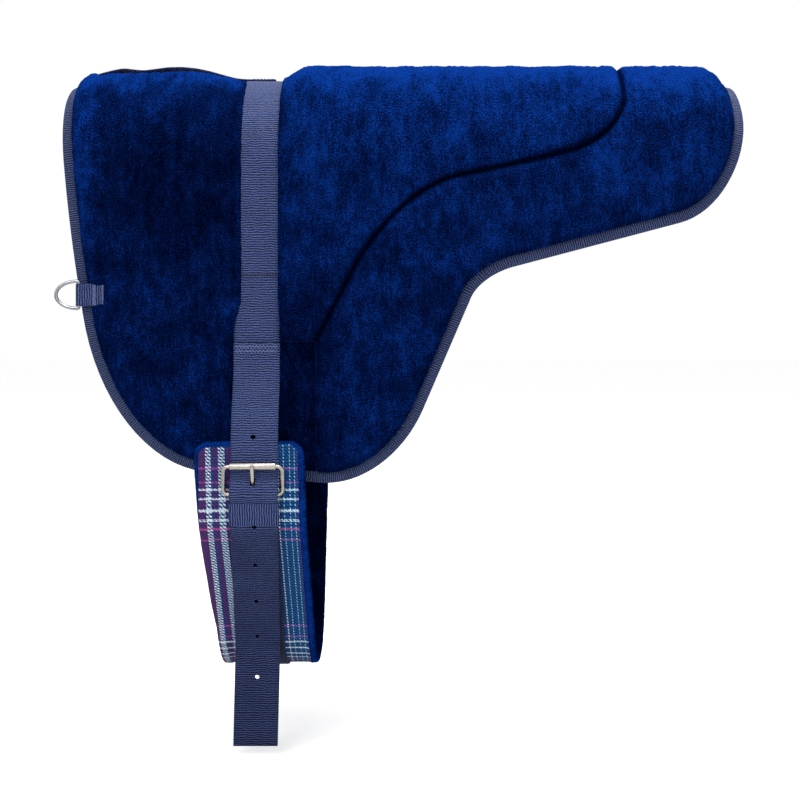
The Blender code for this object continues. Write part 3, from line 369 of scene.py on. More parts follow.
def peak(value, reach):
    """1 at no value, falling off softly on both sides."""
    return np.exp(-((value / reach) ** 2))


def ring_of(half_wide, low, high, corner, steps):
    """The points of a rectangle about x = 0 with rounded corners, from its right side round by its top."""
    line, top, bottom = [], high - corner, low + corner
    for x, centre, start in ((1, top, 0), (-1, top, 1), (-1, bottom, 2), (1, bottom, 3)):
        for k in range(steps + 1):
            angle = math.pi / 2 * (start + k / steps)
            line.append((x * (half_wide - corner) + corner * math.cos(angle), centre + corner * math.sin(angle)))
    return np.array(line)


def facing(side, tilt=0.0):
    """Turns x, up and out on the flank into world directions on that side."""
    return Euler((ARCH + tilt, 0, 0 if side > 0 else math.pi)).to_matrix()


def placed(turn, place):
    """A turn and a place as one matrix."""
    turn = turn.to_4x4()
    turn.translation = Vector(place)
    return turn


# Pieces


def linked(name, data):
    """A new object with that data, in the scene."""
    made = bpy.data.objects.new(name, data)
    bpy.context.scene.collection.objects.link(made)
    return made


def piece(name, verts, faces, look, body, uv=None, replaces=(), slot=None):
    """A smooth mesh from world places, riding on a body. uv holds a place in metres for each vertex.

    look names its finish, and slot is not used.
    """
    mesh = bpy.data.meshes.new(name)
    mesh.from_pydata([tuple(v) for v in np.asarray(verts, float)], [], [tuple(map(int, f)) for f in faces])
    mesh.validate()
    if uv is not None:
        layer = mesh.uv_layers.new(name="cloth")
        corners = np.empty(len(mesh.loops), int)
        mesh.loops.foreach_get("vertex_index", corners)
        layer.data.foreach_set("uv", np.asarray(uv, float)[corners].ravel())
    mesh.shade_smooth()
    mesh.materials.append(finish(look))
    made = linked(name, mesh)
    if body:
        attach(made, body)
    if replaces:
        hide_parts(*replaces)
    return made


def closed_piece(*given, **more):
    """A piece whose faces close it, turned outwards."""
    made = piece(*given, **more)
    bm = bmesh.new()
    bm.from_mesh(made.data)
    bmesh.ops.recalc_face_normals(bm, faces=bm.faces[:])
    if bm.calc_volume(signed=True) < 0:
        bmesh.ops.reverse_faces(bm, faces=bm.faces[:])
    bm.to_mesh(made.data)
    bm.free()
    return made


def darkened(made, values):
    """Stores at each vertex how much darker its colour is drawn: painted shade on the plush, painted light where
    negative, and a darker strap below each buckle.
    """
    made.data.attributes.new("darkness", "FLOAT", "POINT").data.foreach_set("value", values)


def around(count):
    """Cosines and sines of angles evenly spaced once round."""
    return [(math.cos(math.tau * k / count), math.sin(math.tau * k / count)) for k in range(count)]


def quads(rows, columns, wrap_rows=False, wrap_columns=False):
    """Faces of a grid of rows of points."""
    faces = []
    for i in range(rows if wrap_rows else rows - 1):
        for j in range(columns if wrap_columns else columns - 1):
            a, b = i * columns + j, i * columns + (j + 1) % columns
            c, d = (i + 1) % rows * columns + (j + 1) % columns, (i + 1) % rows * columns + j
            faces.append((a, b, c, d))
    return faces


def caps(rows, columns):
    """The faces that close both ends of a grid whose columns go round."""
    return [tuple(range(columns))[::-1], tuple(range((rows - 1) * columns, rows * columns))]


def open_edges(faces):
    """The edges that only one of the square cells has."""
    edges = {(f[k], f[(k + 1) % 4]) for f in faces.tolist() for k in range(4)}
    return [(a, b) for a, b in edges if (b, a) not in edges]


def lattice_in(outline, step):
    """A grid of square cells inside a closed outline, with its rim on the outline.

    Gives the points, the faces, and the rim as a closed run of point numbers.
    """
    low, high = outline.min(0) - step, outline.max(0) + step
    xs, ts = np.arange(low[0], high[0], step), np.arange(low[1], high[1], step)
    grid = np.stack(np.meshgrid(xs, ts, indexing="ij"), -1).reshape(-1, 2)
    near = nearest(grid, outline)[0] < step * 0.5
    good = (inside(grid, outline) | near).reshape(len(xs), len(ts))
    cells = good[:-1, :-1] & good[1:, :-1] & good[1:, 1:] & good[:-1, 1:]
    i, j = np.nonzero(cells)
    wide = len(ts)
    faces = np.stack([i * wide + j, (i + 1) * wide + j, (i + 1) * wide + j + 1, i * wide + j + 1], 1)
    used, numbers = np.unique(faces, return_inverse=True)
    faces, points = numbers.reshape(faces.shape), grid[used]
    following = {}
    for a, b in open_edges(faces):
        following.setdefault(a, []).append(b)
    rims = []
    while following:
        start = next(iter(following))
        run = [start]
        while True:
            options = following[run[-1]]
            step_to = options.pop()
            if not options:
                del following[run[-1]]
            if step_to == start:
                break
            run.append(step_to)
        rims.append(run)
    rim = max(rims, key=len)
    points[rim] = nearest(points[rim], outline)[1]
    return points, faces, np.array(rim)


def closed_sheet(name, points, faces, edges, low, high, place, look, node):
    """A closed solid between two heights over a flat grid. edges are the grid's outer ones."""
    count = len(points)
    spots = np.vstack([points, points])
    made_faces = faces.tolist() + (faces[:, ::-1] + count).tolist()
    made_faces += [(b, a, a + count, b + count) for a, b in edges]
    places = place(*spots.T, np.r_[high, low])
    return closed_piece(name, places, made_faces, look, "pad", spots, [node])


def round_rim(rim):
    """The edges of a closed run of point numbers."""
    return list(zip(rim, np.roll(rim, -1)))


def away(line, outline, probe):
    """Unit vectors at a line along a closed outline, out of it, as a probe that far out shows."""
    along = np.roll(line, -3, 0) - np.roll(line, 3, 0)
    out = unit(np.stack([along[:, 1], -along[:, 0]], -1))
    out[inside(line + out * probe, outline)] *= -1
    return out


def rolled_faces(rim, count, rings):
    """Faces from a rim to the first of some rings of points, which follow the first count points, and on."""
    size = len(rim)
    loops = [rim] + [np.arange(count + k * size, count + (k + 1) * size) for k in range(rings)]
    bands = [np.stack([np.roll(a, -1), a, b, np.roll(b, -1)], 1) for a, b in zip(loops, loops[1:])]
    return np.concatenate(bands)


def panel(name, outline, step, surface, under, overhang, node, darkness):
    """A pile panel on the pad: its surface, and an edge that rolls out by the overhang and in under itself."""
    points, faces, rim = lattice_in(outline, step)
    top, edge = surface(points), points[rim]
    out = away(edge, outline, step * 0.7)
    reach, floor = overhang(edge), under(edge)
    # The roll's section, as shares of the overhang and of the height over what it lies on, and how much painted shade
    # darkens it
    roll = ((0.75, 0.86, 0.1), (1.0, 0.55, 0.35), (0.7, 0.26, 0.8), (0.0, 0.0, 1.0))
    spots = np.vstack([points, *(edge + out * (reach * share)[:, None] for share, _, _ in roll)])
    heights = np.concatenate([top, *(floor + (top[rim] - floor) * share for _, share, _ in roll)])
    faces = np.vstack([faces, rolled_faces(rim, len(points), len(roll))]).tolist()
    made = piece(name, drape(*spots.T, heights), faces, "navy_fleece", "pad", spots, [node])
    # The pile is painted darker under its rolled edge, as shade, and its top takes the panel's painted shade and
    # painted light
    darkened(made, np.r_[darkness(points), np.repeat([row[2] for row in roll], len(rim))])


def strap(name, line, across, width, thickness, look, body, outward, replaces, bow=0.0):
    """A length of webbing whose middle follows a line of world places. across is the direction of its width.

    bow is the radius to which its width is bent, or 0 for flat.
    """
    line, across = np.asarray(line, float), np.asarray(across, float)
    up = unit(np.cross(unit(np.gradient(line, axis=0)), across))
    if up[0] @ np.asarray(outward, float) < 0:
        up = -up
    half, round_off = width / 2, thickness * 0.35
    places = np.linspace(-half + round_off, half - round_off, 13)
    section = [(a, thickness / 2) for a in places] + [(half, 0.0)]
    section += [(a, -thickness / 2) for a in places[::-1]] + [(-half, 0.0)]
    verts, uv = [], []
    for point, lift, run in zip(line, up, runs_along(line)):
        for a, rise in section:
            verts.append(point + across * a + lift * (rise - (a * a / (2 * bow) if bow else 0)))
            uv.append((a, run))
    faces = quads(len(line), len(section), wrap_columns=True) + caps(len(line), len(section))
    return closed_piece(name, verts, faces, look, body, uv, replaces, "slate_navy_webbing")


def wire(name, line, radius, look, body, node):
    """A closed loop of round wire along a line of world places that lies in one plane."""
    line, sides = np.asarray(line, float), 20
    third = len(line) // 3
    flat = unit(np.cross(line[third] - line[0], line[2 * third] - line[0]))
    verts = []
    for point, ahead in zip(line, unit(np.roll(line, -1, 0) - np.roll(line, 1, 0))):
        side = unit(np.cross(ahead, flat))
        verts += [point + radius * (c * side + s * flat) for c, s in around(sides)]
    faces = quads(len(line), sides, wrap_rows=True, wrap_columns=True)
    closed_piece(name, verts, faces, look, body, replaces=[node])


# A stitch's bead: places along it, and its thickness and its height over the cloth in radii of the thread
BEAD = ((0, 0.35, -0.4), (0.2, 0.9, 0.35), (0.5, 1, 0.6), (0.8, 0.9, 0.35), (1, 0.35, -0.4))


def stitches(name, pairs, outward, radius, look="thread", body="pad", slot="slate_navy_tape"):
    """Thread that shows on the surface: a short rounded bead between the two places of each pair."""
    verts, faces, sides = [], [], 5
    bead = quads(len(BEAD), sides, wrap_columns=True) + caps(len(BEAD), sides)
    for (start, end), out in zip(pairs, outward):
        start, end, out = (np.asarray(v, float) for v in (start, end, out))
        side = unit(np.cross(unit(end - start), out))
        faces += [tuple(len(verts) + i for i in f) for f in bead]
        for share, swell, lift in BEAD:
            middle = start + (end - start) * share + out * radius * lift
            verts += [middle + radius * swell * (c * side + s * out) for c, s in around(sides)]
    piece(name, verts, faces, look, body, slot=slot)


def zigzag(half, stops, swing):
    """The stitches of a zigzag between -half and half, each as two pairs of a place across and a swing."""
    across = np.linspace(-half, half, stops)
    for k, (a, b) in enumerate(zip(across, across[1:])):
        rise = swing if k % 2 else -swing
        yield (a, rise), (b, -rise)


# Materials


def add_node(tree, kind, sockets=None, **settings):
    """Adds a node with its settings. sockets gives each input a value, or another node's output to read."""
    node = tree.nodes.new(kind)
    for key, value in settings.items():
        setattr(node, key, value)
    for key, value in (sockets or {}).items():
        if isinstance(value, bpy.types.NodeSocket):
            tree.links.new(value, node.inputs[key])
        else:
            node.inputs[key].default_value = value
    return node


def new_material(name, **sockets):
    """A Principled material with constant values in its sockets, named with _ for a space.

    Gives the material, its tree and its shader.
    """
    made = bpy.data.materials.new(name)
    made.use_nodes = True
    shader = made.node_tree.nodes["Principled BSDF"]
    for key, value in sockets.items():
        shader.inputs[key.replace("_", " ")].default_value = value
    return made, made.node_tree, shader


def colour(value):
    return (*value, 1.0)


def ramp(tree, factor, stops, hard=False):
    """A colour ramp from places and colours."""
    node = add_node(tree, "ShaderNodeValToRGB", {"Fac": factor})
    node.color_ramp.interpolation = "CONSTANT" if hard else "LINEAR"
    elements = node.color_ramp.elements
    while len(elements) < len(stops):
        elements.new(0.5)
    for element, (place, shade) in zip(elements, stops):
        element.position = place
        element.color = colour(shade)
    return node.outputs["Color"]


def maths(tree, operation, *values):
    """What a Math node makes of numbers and of other nodes' outputs."""
    return add_node(tree, "ShaderNodeMath", dict(enumerate(values)), operation=operation).outputs[0]


def noise(tree, place, size, detail=2.0, **sockets):
    """Noise with lumps of that size in metres."""
    held = {"Vector": place, "Scale": 1 / size, "Detail": detail, **sockets}
    return add_node(tree, "ShaderNodeTexNoise", held).outputs["Fac"]


def waves(tree, place, pitch):
    """Ridges from -1 to 1, a pitch apart."""
    return maths(tree, "SINE", maths(tree, "MULTIPLY", place, math.tau / pitch))


def cloth_place(tree):
    """The place on the cloth in metres: as one, across and along."""
    cloth = add_node(tree, "ShaderNodeUVMap", uv_map="cloth").outputs["UV"]
    parts = add_node(tree, "ShaderNodeSeparateXYZ", {"Vector": cloth}).outputs
    return cloth, parts["X"], parts["Y"]


def less_by_darkness(tree, total):
    """Less of a total where the darkness stored at the vertices is high, and more where it is negative. On the plush
    that is painted shade and painted light.
    """
    darkness = add_node(tree, "ShaderNodeAttribute", attribute_name="darkness").outputs["Fac"]
    return maths(tree, "MULTIPLY_ADD", darkness, -0.16, total)


def bumped(tree, shader, height, strength, distance, shade=None):
    """Gives the shader the bump of a height, and a colour where that isn't one constant."""
    bump = add_node(tree, "ShaderNodeBump", {"Height": height, "Strength": strength, "Distance": distance})
    tree.links.new(bump.outputs["Normal"], shader.inputs["Normal"])
    if shade:
        tree.links.new(shade, shader.inputs["Base Color"])


def plush(name, darkness, body, bright, lay=2.4):
    """Acrylic pile plush: knitted, sheared and brushed, so that it lies in soft dark and bright tufts."""
    made, tree, shader = new_material(
        name, Roughness=0.95, Sheen_Weight=0.10, Sheen_Roughness=0.5, Sheen_Tint=colour(linear("#1E62E8")),
        Specular_IOR_Level=0.0,
    )
    cloth = cloth_place(tree)[0]
    lying = add_node(tree, "ShaderNodeMapping", {"Vector": cloth, "Scale": (1.0, 1.0 / lay, 1.0)}).outputs[0]
    # Patches 45 mm across where the pile was stroked another way, painted lighter and darker in place of the sheen that
    # changes with it, tufts 11 mm across, and strands drawn 3 and 1.6 mm across, far coarser than real fibres, so that
    # they show
    total = None
    for spot, size, detail, weight in (
        (cloth, 0.045, 2.0, 0.24), (lying, 0.011, 2.0, 0.24), (lying, 0.0030, 2.0, 0.21), (cloth, 0.0016, 0.0, 0.31)
    ):
        share = maths(tree, "MULTIPLY", noise(tree, spot, size, detail, Roughness=0.6), weight)
        total = maths(tree, "ADD", share, total) if total else share
    # Painted shade, stored at the vertices, darkens the pile along seams, under its rolled edges and where it lies in
    # shade, and painted light brightens it where it faces up. The colour follows the pile's bumps too: painted shade
    # down in it and painted highlight on its tips
    shade = ramp(tree, less_by_darkness(tree, total), ((0.36, darkness), (0.50, body), (0.65, bright)))
    bumped(tree, shader, total, 0.9, 0.009, shade)
    return made


def webbing(name, groove, rib, rib_pitch=0.0026, cord_pitch=0.0017):
    """Woven polypropylene webbing: a fat weft makes ribs across it, and the warp shows as fine cords along it."""
    made, tree, shader = new_material(
        name, Roughness=0.6, Sheen_Weight=0.08, Sheen_Roughness=0.4, Sheen_Tint=colour(linear("#8C93C0")),
        Specular_IOR_Level=0.12,
    )
    cloth, across, along = cloth_place(tree)
    # The ribs are drawn 2.6 mm apart, coarser than real ones, so that they show. They wander a little, because the
    # weft isn't beaten up quite evenly
    along = maths(tree, "MULTIPLY_ADD", noise(tree, cloth, 0.009), 0.0032, along)
    rib_waves, cords = (
        maths(tree, "MULTIPLY_ADD", waves(tree, place, pitch), 0.5, 0.5)
        for place, pitch in ((along, rib_pitch), (across, cord_pitch))
    )
    fuzz, wear = noise(tree, cloth, 0.0014), noise(tree, cloth, 0.03, 3.0)
    total = maths(tree, "MULTIPLY", rib_waves, 0.50)
    for part, weight in ((cords, 0.08), (fuzz, 0.46), (wear, 0.14)):
        total = maths(tree, "MULTIPLY_ADD", part, weight, total)
    # The webbing is drawn darker where its vertices store a darkening, as below each billet's buckle
    total = less_by_darkness(tree, total)
    # The colour follows the ribs' ridges: the grooves between them are painted dark as shade and the ribs light as
    # highlight, with the fuzz and wear as uneven tone
    bumped(tree, shader, total, 0.9, 0.0009, ramp(tree, total, ((0.42, groove), (0.90, rib))))
    return made


def woven(name, shades, pitch):
    """A plain weave of round threads a pitch apart, a little uneven in colour."""
    made, tree, shader = new_material(name, Roughness=0.8, Specular_IOR_Level=0.02)
    cloth = cloth_place(tree)[0]
    weave = add_node(tree, "ShaderNodeTexChecker", {"Vector": cloth, "Scale": 1 / pitch}).outputs["Fac"]
    mixed = maths(tree, "MULTIPLY_ADD", weave, 0.3, noise(tree, cloth, pitch * 6, 3.0))
    bumped(tree, shader, mixed, 0.5, 0.0005, ramp(tree, mixed, ((0.3, shades[0]), (0.95, shades[1]))))
    return made


# The plaid's threads: places across the cloth in mm from its middle, and along it in mm from a repeat's start,
# each with the colour that runs from there to the next
WARP = (
    (-60, "#6C1D5C"), (-49.0, "#DDECFB"), (-43.2, "#1F4C8A"), (-40.8, "#6C1D5C"), (-36.2, "#1F4C8A"),
    (-35.4, "#CFE4F8"), (-28.2, "#26326E"), (-26.6, "#6C1D5C"), (-22.0, "#10386A"), (-8.0, "#1F5C84"),
    (8.0, "#10386A"), (22.0, "#0C4C80"), (28.0, "#E6F0F8"), (29.2, "#0A568E"), (34.2, "#A6D6F2"),
    (35.1, "#0A568E"), (40.4, "#A6D6F2"), (41.3, "#0A568E"), (45.9, "#A6D6F2"), (46.8, "#0A568E"), (49.0, "#5E3C86"),
)
WEFT_REPEAT, WEFT_START, WARP_WIDTH = 195.0, 0.3028, 120
WEFT = (
    (0, "#7F4596"), (2.0, "#0B2E62"), (14.8, "#7F4596"), (16.8, "#0B2E62"), (22.6, "#C6DDEC"),
    (24.6, "#0B2E62"), (32.4, "#C6DDEC"), (34.4, "#0B2E62"), (43.0, "#C6DDEC"), (45.0, "#0B2E62"),
    (51.6, "#C6DDEC"), (53.6, "#0B2E62"), (60.0, "#9A4A8C"), (62.0, "#0B2E62"), (72.6, "#9A4A8C"),
    (74.6, "#082C5E"), (195.0, "#082C5E"),
)


def plaid(name):
    """Cotton plaid, twill woven from dyed warp and weft, so that each crossing shows both colours."""
    made, tree, shader = new_material(
        name, Roughness=0.8, Sheen_Weight=0.05, Sheen_Roughness=0.5, Specular_IOR_Level=0.1
    )
    cloth, across, along = cloth_place(tree)
    place = maths(tree, "MULTIPLY_ADD", across, 1000 / WARP_WIDTH, 0.5)
    warp = ramp(tree, place, [(mm / WARP_WIDTH + 0.5, linear(code)) for mm, code in WARP], hard=True)
    place = maths(tree, "MULTIPLY_ADD", along, -1000 / WEFT_REPEAT, WEFT_START * 1000 / WEFT_REPEAT)
    repeat = maths(tree, "FRACT", place)
    weft = ramp(tree, repeat, [(mm / WEFT_REPEAT, linear(code)) for mm, code in WEFT], hard=True)
    # The twill's slanting lines are drawn 4.2 mm apart along the cloth, coarser than real ones, so that they show
    total = 0.66
    for line, pitch, weight in ((maths(tree, "ADD", across, along), 0.0042, 0.42), (along, 0.0033, 0.34)):
        total = maths(tree, "MULTIPLY_ADD", waves(tree, line, pitch), weight, total)
    mixed = add_node(tree, "ShaderNodeMix", {"Factor": total}, data_type="RGBA", clamp_factor=True)
    tree.links.new(warp, mixed.inputs[6])
    tree.links.new(weft, mixed.inputs[7])
    fuzz = noise(tree, cloth, 0.0013)
    limits = {"From Min": 0.3, "From Max": 0.7, "To Min": 0.42, "To Max": 1.5}
    uneven = add_node(tree, "ShaderNodeMapRange", {"Value": fuzz, **limits}).outputs[0]
    shaded = add_node(tree, "ShaderNodeVectorMath", {0: mixed.outputs[2], "Scale": uneven}, operation="SCALE")
    bumped(tree, shader, maths(tree, "MULTIPLY_ADD", fuzz, 0.5, total), 0.6, 0.0006, shaded.outputs[0])
    return made


def metal(name, shade, roughness, grain):
    """A plated steel part: the plating's colour, with faint polishing marks in its shine."""
    made, tree, shader = new_material(name, Roughness=roughness, Metallic=1.0, Base_Color=colour(linear(shade)))
    place = add_node(tree, "ShaderNodeTexCoord").outputs["Object"]
    marks = noise(tree, place, grain, 3.0)
    limits = {"To Min": roughness * 0.75, "To Max": roughness * 1.3}
    shine = add_node(tree, "ShaderNodeMapRange", {"Value": marks, **limits}).outputs[0]
    tree.links.new(shine, shader.inputs["Roughness"])
    bumped(tree, shader, marks, 0.12, 0.0002)
    return made


def plain(name, shades, lump, roughness, depth):
    """Felt, foam or thread: two shades in soft lumps, with a matching bump."""
    made, tree, shader = new_material(name, Roughness=roughness)
    place = add_node(tree, "ShaderNodeTexCoord").outputs["Object"]
    lumps = noise(tree, place, lump, 4.0)
    stops = [(share, linear(shade)) for share, shade in zip((0.35, 0.65), shades)]
    bumped(tree, shader, lumps, 0.5, depth, ramp(tree, lumps, stops))
    return made


FINISHES = {}


def finish(name):
    """The material of that name, made the first time that it is asked for."""
    if name not in FINISHES:
        c = bpy.context.scene.pad_colours
        pile = (c.pile_deep, c.pile_body, c.pile_bright)
        FINISHES[name] = {
            "navy_fleece": lambda: plush("navy_plush", *pile),
            "girth_fleece": lambda: plush("royal_plush", *pile, 1.3),
            "navy_canvas": lambda: woven("navy_cotton_duck", (linear("#0B1130"), linear("#1A2450")), 0.0014),
            "grey_felt": lambda: plain("wool_felt", ("#8E8F94", "#B2B3B8"), 0.004, 0.95, 0.0005),
            "white_foam": lambda: plain("open_foam", ("#CFCDBF", "#E6E4D8"), 0.002, 0.9, 0.0004),
            "slate_navy_tape": lambda: webbing("grosgrain_tape", c.tape_groove, c.tape_rib, 0.0024, 0.0016),
            "slate_navy_webbing": lambda: webbing("polypropylene_webbing", c.webbing_groove, c.webbing_rib),
            # Webbing painted darker, as the shadow on the girth's webbing
            "tail_webbing": lambda: webbing("girth_webbing_painted_shade", linear("#070B1C"), linear("#2E3658")),
            "thread": lambda: plain("bonded_thread", ("#0C1230", "#1C2450"), 0.001, 0.6, 0.0002),
            "pale_thread": lambda: plain("pale_thread", ("#5C6896", "#7A86B2"), 0.001, 0.6, 0.0002),
            "plaid_cloth": lambda: plaid("cotton_plaid"),
            "bright_steel": lambda: metal("chromed_steel", "#A4A7AD", 0.14, 0.003),
            "satin_nickel": lambda: metal("satin_nickel", "#B8B2A8", 0.28, 0.0016),
        }[name]()
    return FINISHES[name]


def a_length(name, description, default):
    return bpy.props.FloatProperty(name=name, description=description, default=default, unit="LENGTH")


def a_colour(name, description, code):
    return bpy.props.FloatVectorProperty(name=name, description=description, subtype="COLOR", default=linear(code))


class PadSizes(bpy.types.PropertyGroup):
    """Sizes of the finishes that a user may change."""

    pile_tuft: a_length("Pile tuft", "Width of a tuft of the fleece's pile", 0.008)
    pile_height: a_length("Tuft height", "How far a tuft stands out of the pile", 0.0017)
    pile_grid: a_length("Pile grid", "Spacing of the points of a fleece panel", 0.0020)
    stitch: a_length("Stitch", "Length of one stitch with its gap", 0.0042)
    thread: a_length("Thread", "Radius of the sewing thread", 0.0004)


class PadColours(bpy.types.PropertyGroup):
    """Colours that a user may change."""

    # The plush is painted towards its deep colour in shade and towards its bright one in light, and between the three
    # at random in tufts
    pile_deep: a_colour("Pile, deep", "Colour down in the pile", "#000316")
    pile_body: a_colour("Pile, body", "Colour of most of the pile", "#031340")
    pile_bright: a_colour("Pile, bright", "Colour of the tips of the pile", "#083284")
    # The webbing's and the tape's grooves are painted in the groove colours as shade, and their ribs in the rib colours
    # as highlight
    webbing_groove: a_colour("Webbing, groove", "Colour between the ribs", "#08112E")
    webbing_rib: a_colour("Webbing, rib", "Colour on the ribs", "#55659E")
    tape_groove: a_colour("Tape, groove", "Colour between the tape's ribs", "#0A1330")
    tape_rib: a_colour("Tape, rib", "Colour on the tape's ribs", "#525F8C")


def core_height(distance):
    share = np.clip((distance - BINDING_LEG + GAP) / (CORE_SHOULDER - BINDING_LEG), 0, 1)
    return CORE_BASE + CORE_EDGE + (CORE - CORE_EDGE) * share


def tufted(points, height, seed, fade=1.0):
    """How far the pile's tufts stand out at each place, in metres."""
    size = bpy.context.scene.pad_sizes.pile_tuft
    x, t = points.T
    t = t + 0.004 * rough(x, t, 0.03, seed + 9)
    coarse = rough(x, t, size * 2.6, seed, 1.4)
    middle = rough(x, t, size, seed + 1, 1.6)
    fine = rough(x, t, size * 0.5, seed + 2, 1.5)
    finest = rough(x, t, size * 0.3, seed + 3, 1.3)
    return height * fade * (0.30 * coarse + 0.45 * middle + 0.40 * fine + 0.30 * finest)


# The pad


def foam_rise(distance):
    """The foam's thickness at a distance from what it ends at."""
    return FOAM_EDGE + (FOAM - FOAM_EDGE) * eased((distance - 0.008) / 0.022)


def out_of_flank(side):
    return np.array((0, -side * math.sin(ARCH), math.cos(ARCH)))


class BuildLining(bpy.types.Operator):
    """Adds the canvas that lies on the horse, and the felt core on it"""

    bl_idname = "pad.build_lining"
    bl_label = "Lining and core"

    def execute(self, context):
        outline = pad_outline()
        edge = outline + inward(outline) * (BINDING_THICKNESS + GAP)
        points, faces, rim = lattice_in(edge, HIDDEN_GRID)
        rim = round_rim(rim)
        under = 0.0002 * rough(*points.T, 0.02, 70) + 0.0003
        over = under + 0.0012
        cloth = closed_sheet("lining_cloth", points, faces, rim, under, over, drape, "navy_canvas", "pad_lining")
        abs(area_in(edge))
        low, top = np.full(len(points), CORE_BASE), core_height(nearest(points, outline)[0])
        core = closed_sheet("felt_core", points, faces, rim, low, top, drape, "grey_felt", "pad_core")
        return {"FINISHED"}


class BuildFoams(bpy.types.Operator):
    """Adds the foam of the seat and of the skirt behind it, which the quilted seam keeps apart"""

    bl_idname = "pad.build_foams"
    bl_label = "Foam inserts"

    def execute(self, context):
        outline, seam = pad_outline(), quilt_seam()
        shape = rear_shape(outline)
        points, faces, _ = lattice_in(shape, HIDDEN_GRID)
        shown = np.minimum(nearest(points, seam, False)[0], nearest(points, shape)[0])
        seat = seat_side(points, seam)
        for name, side in (("seat_foam", seat), ("skirt_foam", ~seat)):
            cells = faces[(side & (shown > 0.009))[faces].all(1)]
            used, numbers = np.unique(cells, return_inverse=True)
            region, cells = points[used], numbers.reshape(-1, 4)
            base = core_height(nearest(region, outline)[0]) + GAP
            top = base + foam_rise(shown[used])
            sides = open_edges(cells)
            made = closed_sheet(f"{name}_sheet", region, cells, sides, base, top, drape, "white_foam", name)
        return {"FINISHED"}


def seat_side(points, seam):
    """Which points are on the seat's side of the quilted seam."""
    loop = np.vstack([seam, [(STRAP / 2, -PATCH_TOP)], [(STRAP / 2, PATCH_TOP)]])
    return inside(points, loop)


def clipped(outline, keep_low, keep_high):
    """The outline cut to a band of x."""
    line = []
    for a, b in zip(outline, np.roll(outline, -1, 0)):
        for bound in (keep_low, keep_high):
            if (a[0] - bound) * (b[0] - bound) < 0:
                line.append(a + (b - a) * (bound - a[0]) / (b[0] - a[0]))
        if keep_low <= b[0] <= keep_high:
            line.append(b)
    return np.array(line)


def notched(outline, low, high):
    """The outline without the part of its area in a box that reaches past it on at least one side."""

    def boxed(place, slack=0.0):
        return all(low[k] - slack < place[k] < high[k] + slack for k in (0, 1))

    kept = []
    for a, b in zip(outline, np.roll(outline, -1, 0)):
        if not boxed(a):
            kept.append(a)
        if boxed(a) == boxed(b):
            continue
        shares = [(bound - a[k]) / (b[k] - a[k]) for k in (0, 1) for bound in (low[k], high[k]) if b[k] != a[k]]
        spots = [a + (b - a) * share for share in shares if 0 <= share <= 1]
        crossing = next(place for place in spots if boxed(place, 1e-9))
        if boxed(a):
            corners = np.array([(low[0], low[1]), (low[0], high[1]), (high[0], high[1]), (high[0], low[1])])
            inner = list(corners[inside(corners, outline)])
            if kept and len(inner) > 1:
                inner.sort(key=lambda corner: np.linalg.norm(corner - kept[-1]))
            kept += inner
        kept.append(crossing)
    return np.array(kept)


def band_of(outline, low, high):
    """The part of the pad inside its binding that lies in a band of x."""
    return clipped(outline + inward(outline) * (BINDING_LEG + GAP), low, high)


def rear_shape(outline):
    shape = band_of(outline, STRAP / 2 + GAP, REAR)
    shape = notched(shape, (0, PATCH_TOP - GAP), (PATCH_REACH + GAP, DROP))
    return notched(shape, (0, -DROP), (PATCH_REACH + GAP, -PATCH_TOP + GAP))


def front_shape(outline):
    shape = band_of(outline, -FRONT, -STRAP / 2 - GAP)
    half = HANDLE_WIDTH / 2 + GAP
    shape = notched(shape, (-0.068, -half), (0, half))
    half = TAB_WIDTH / 2 + GAP
    for _, side in SIDES:
        shape = notched(shape, (-FRONT, side * RING_DROP - half), (TAB_END + GAP, side * RING_DROP + half))
    return shape


def patch_shape(outline, side):
    shape = band_of(outline, -STRAP / 2, PATCH_REACH)
    low, high = (-DROP - 0.1, PATCH_TOP) if side > 0 else (-PATCH_TOP, DROP + 0.1)
    shape = notched(shape, (-0.1, low), (0.2, high))
    low, high = sorted((0, side * PATCH_UNDER))
    return notched(shape, (-0.1, low), (STRAP / 2 + GAP, high))


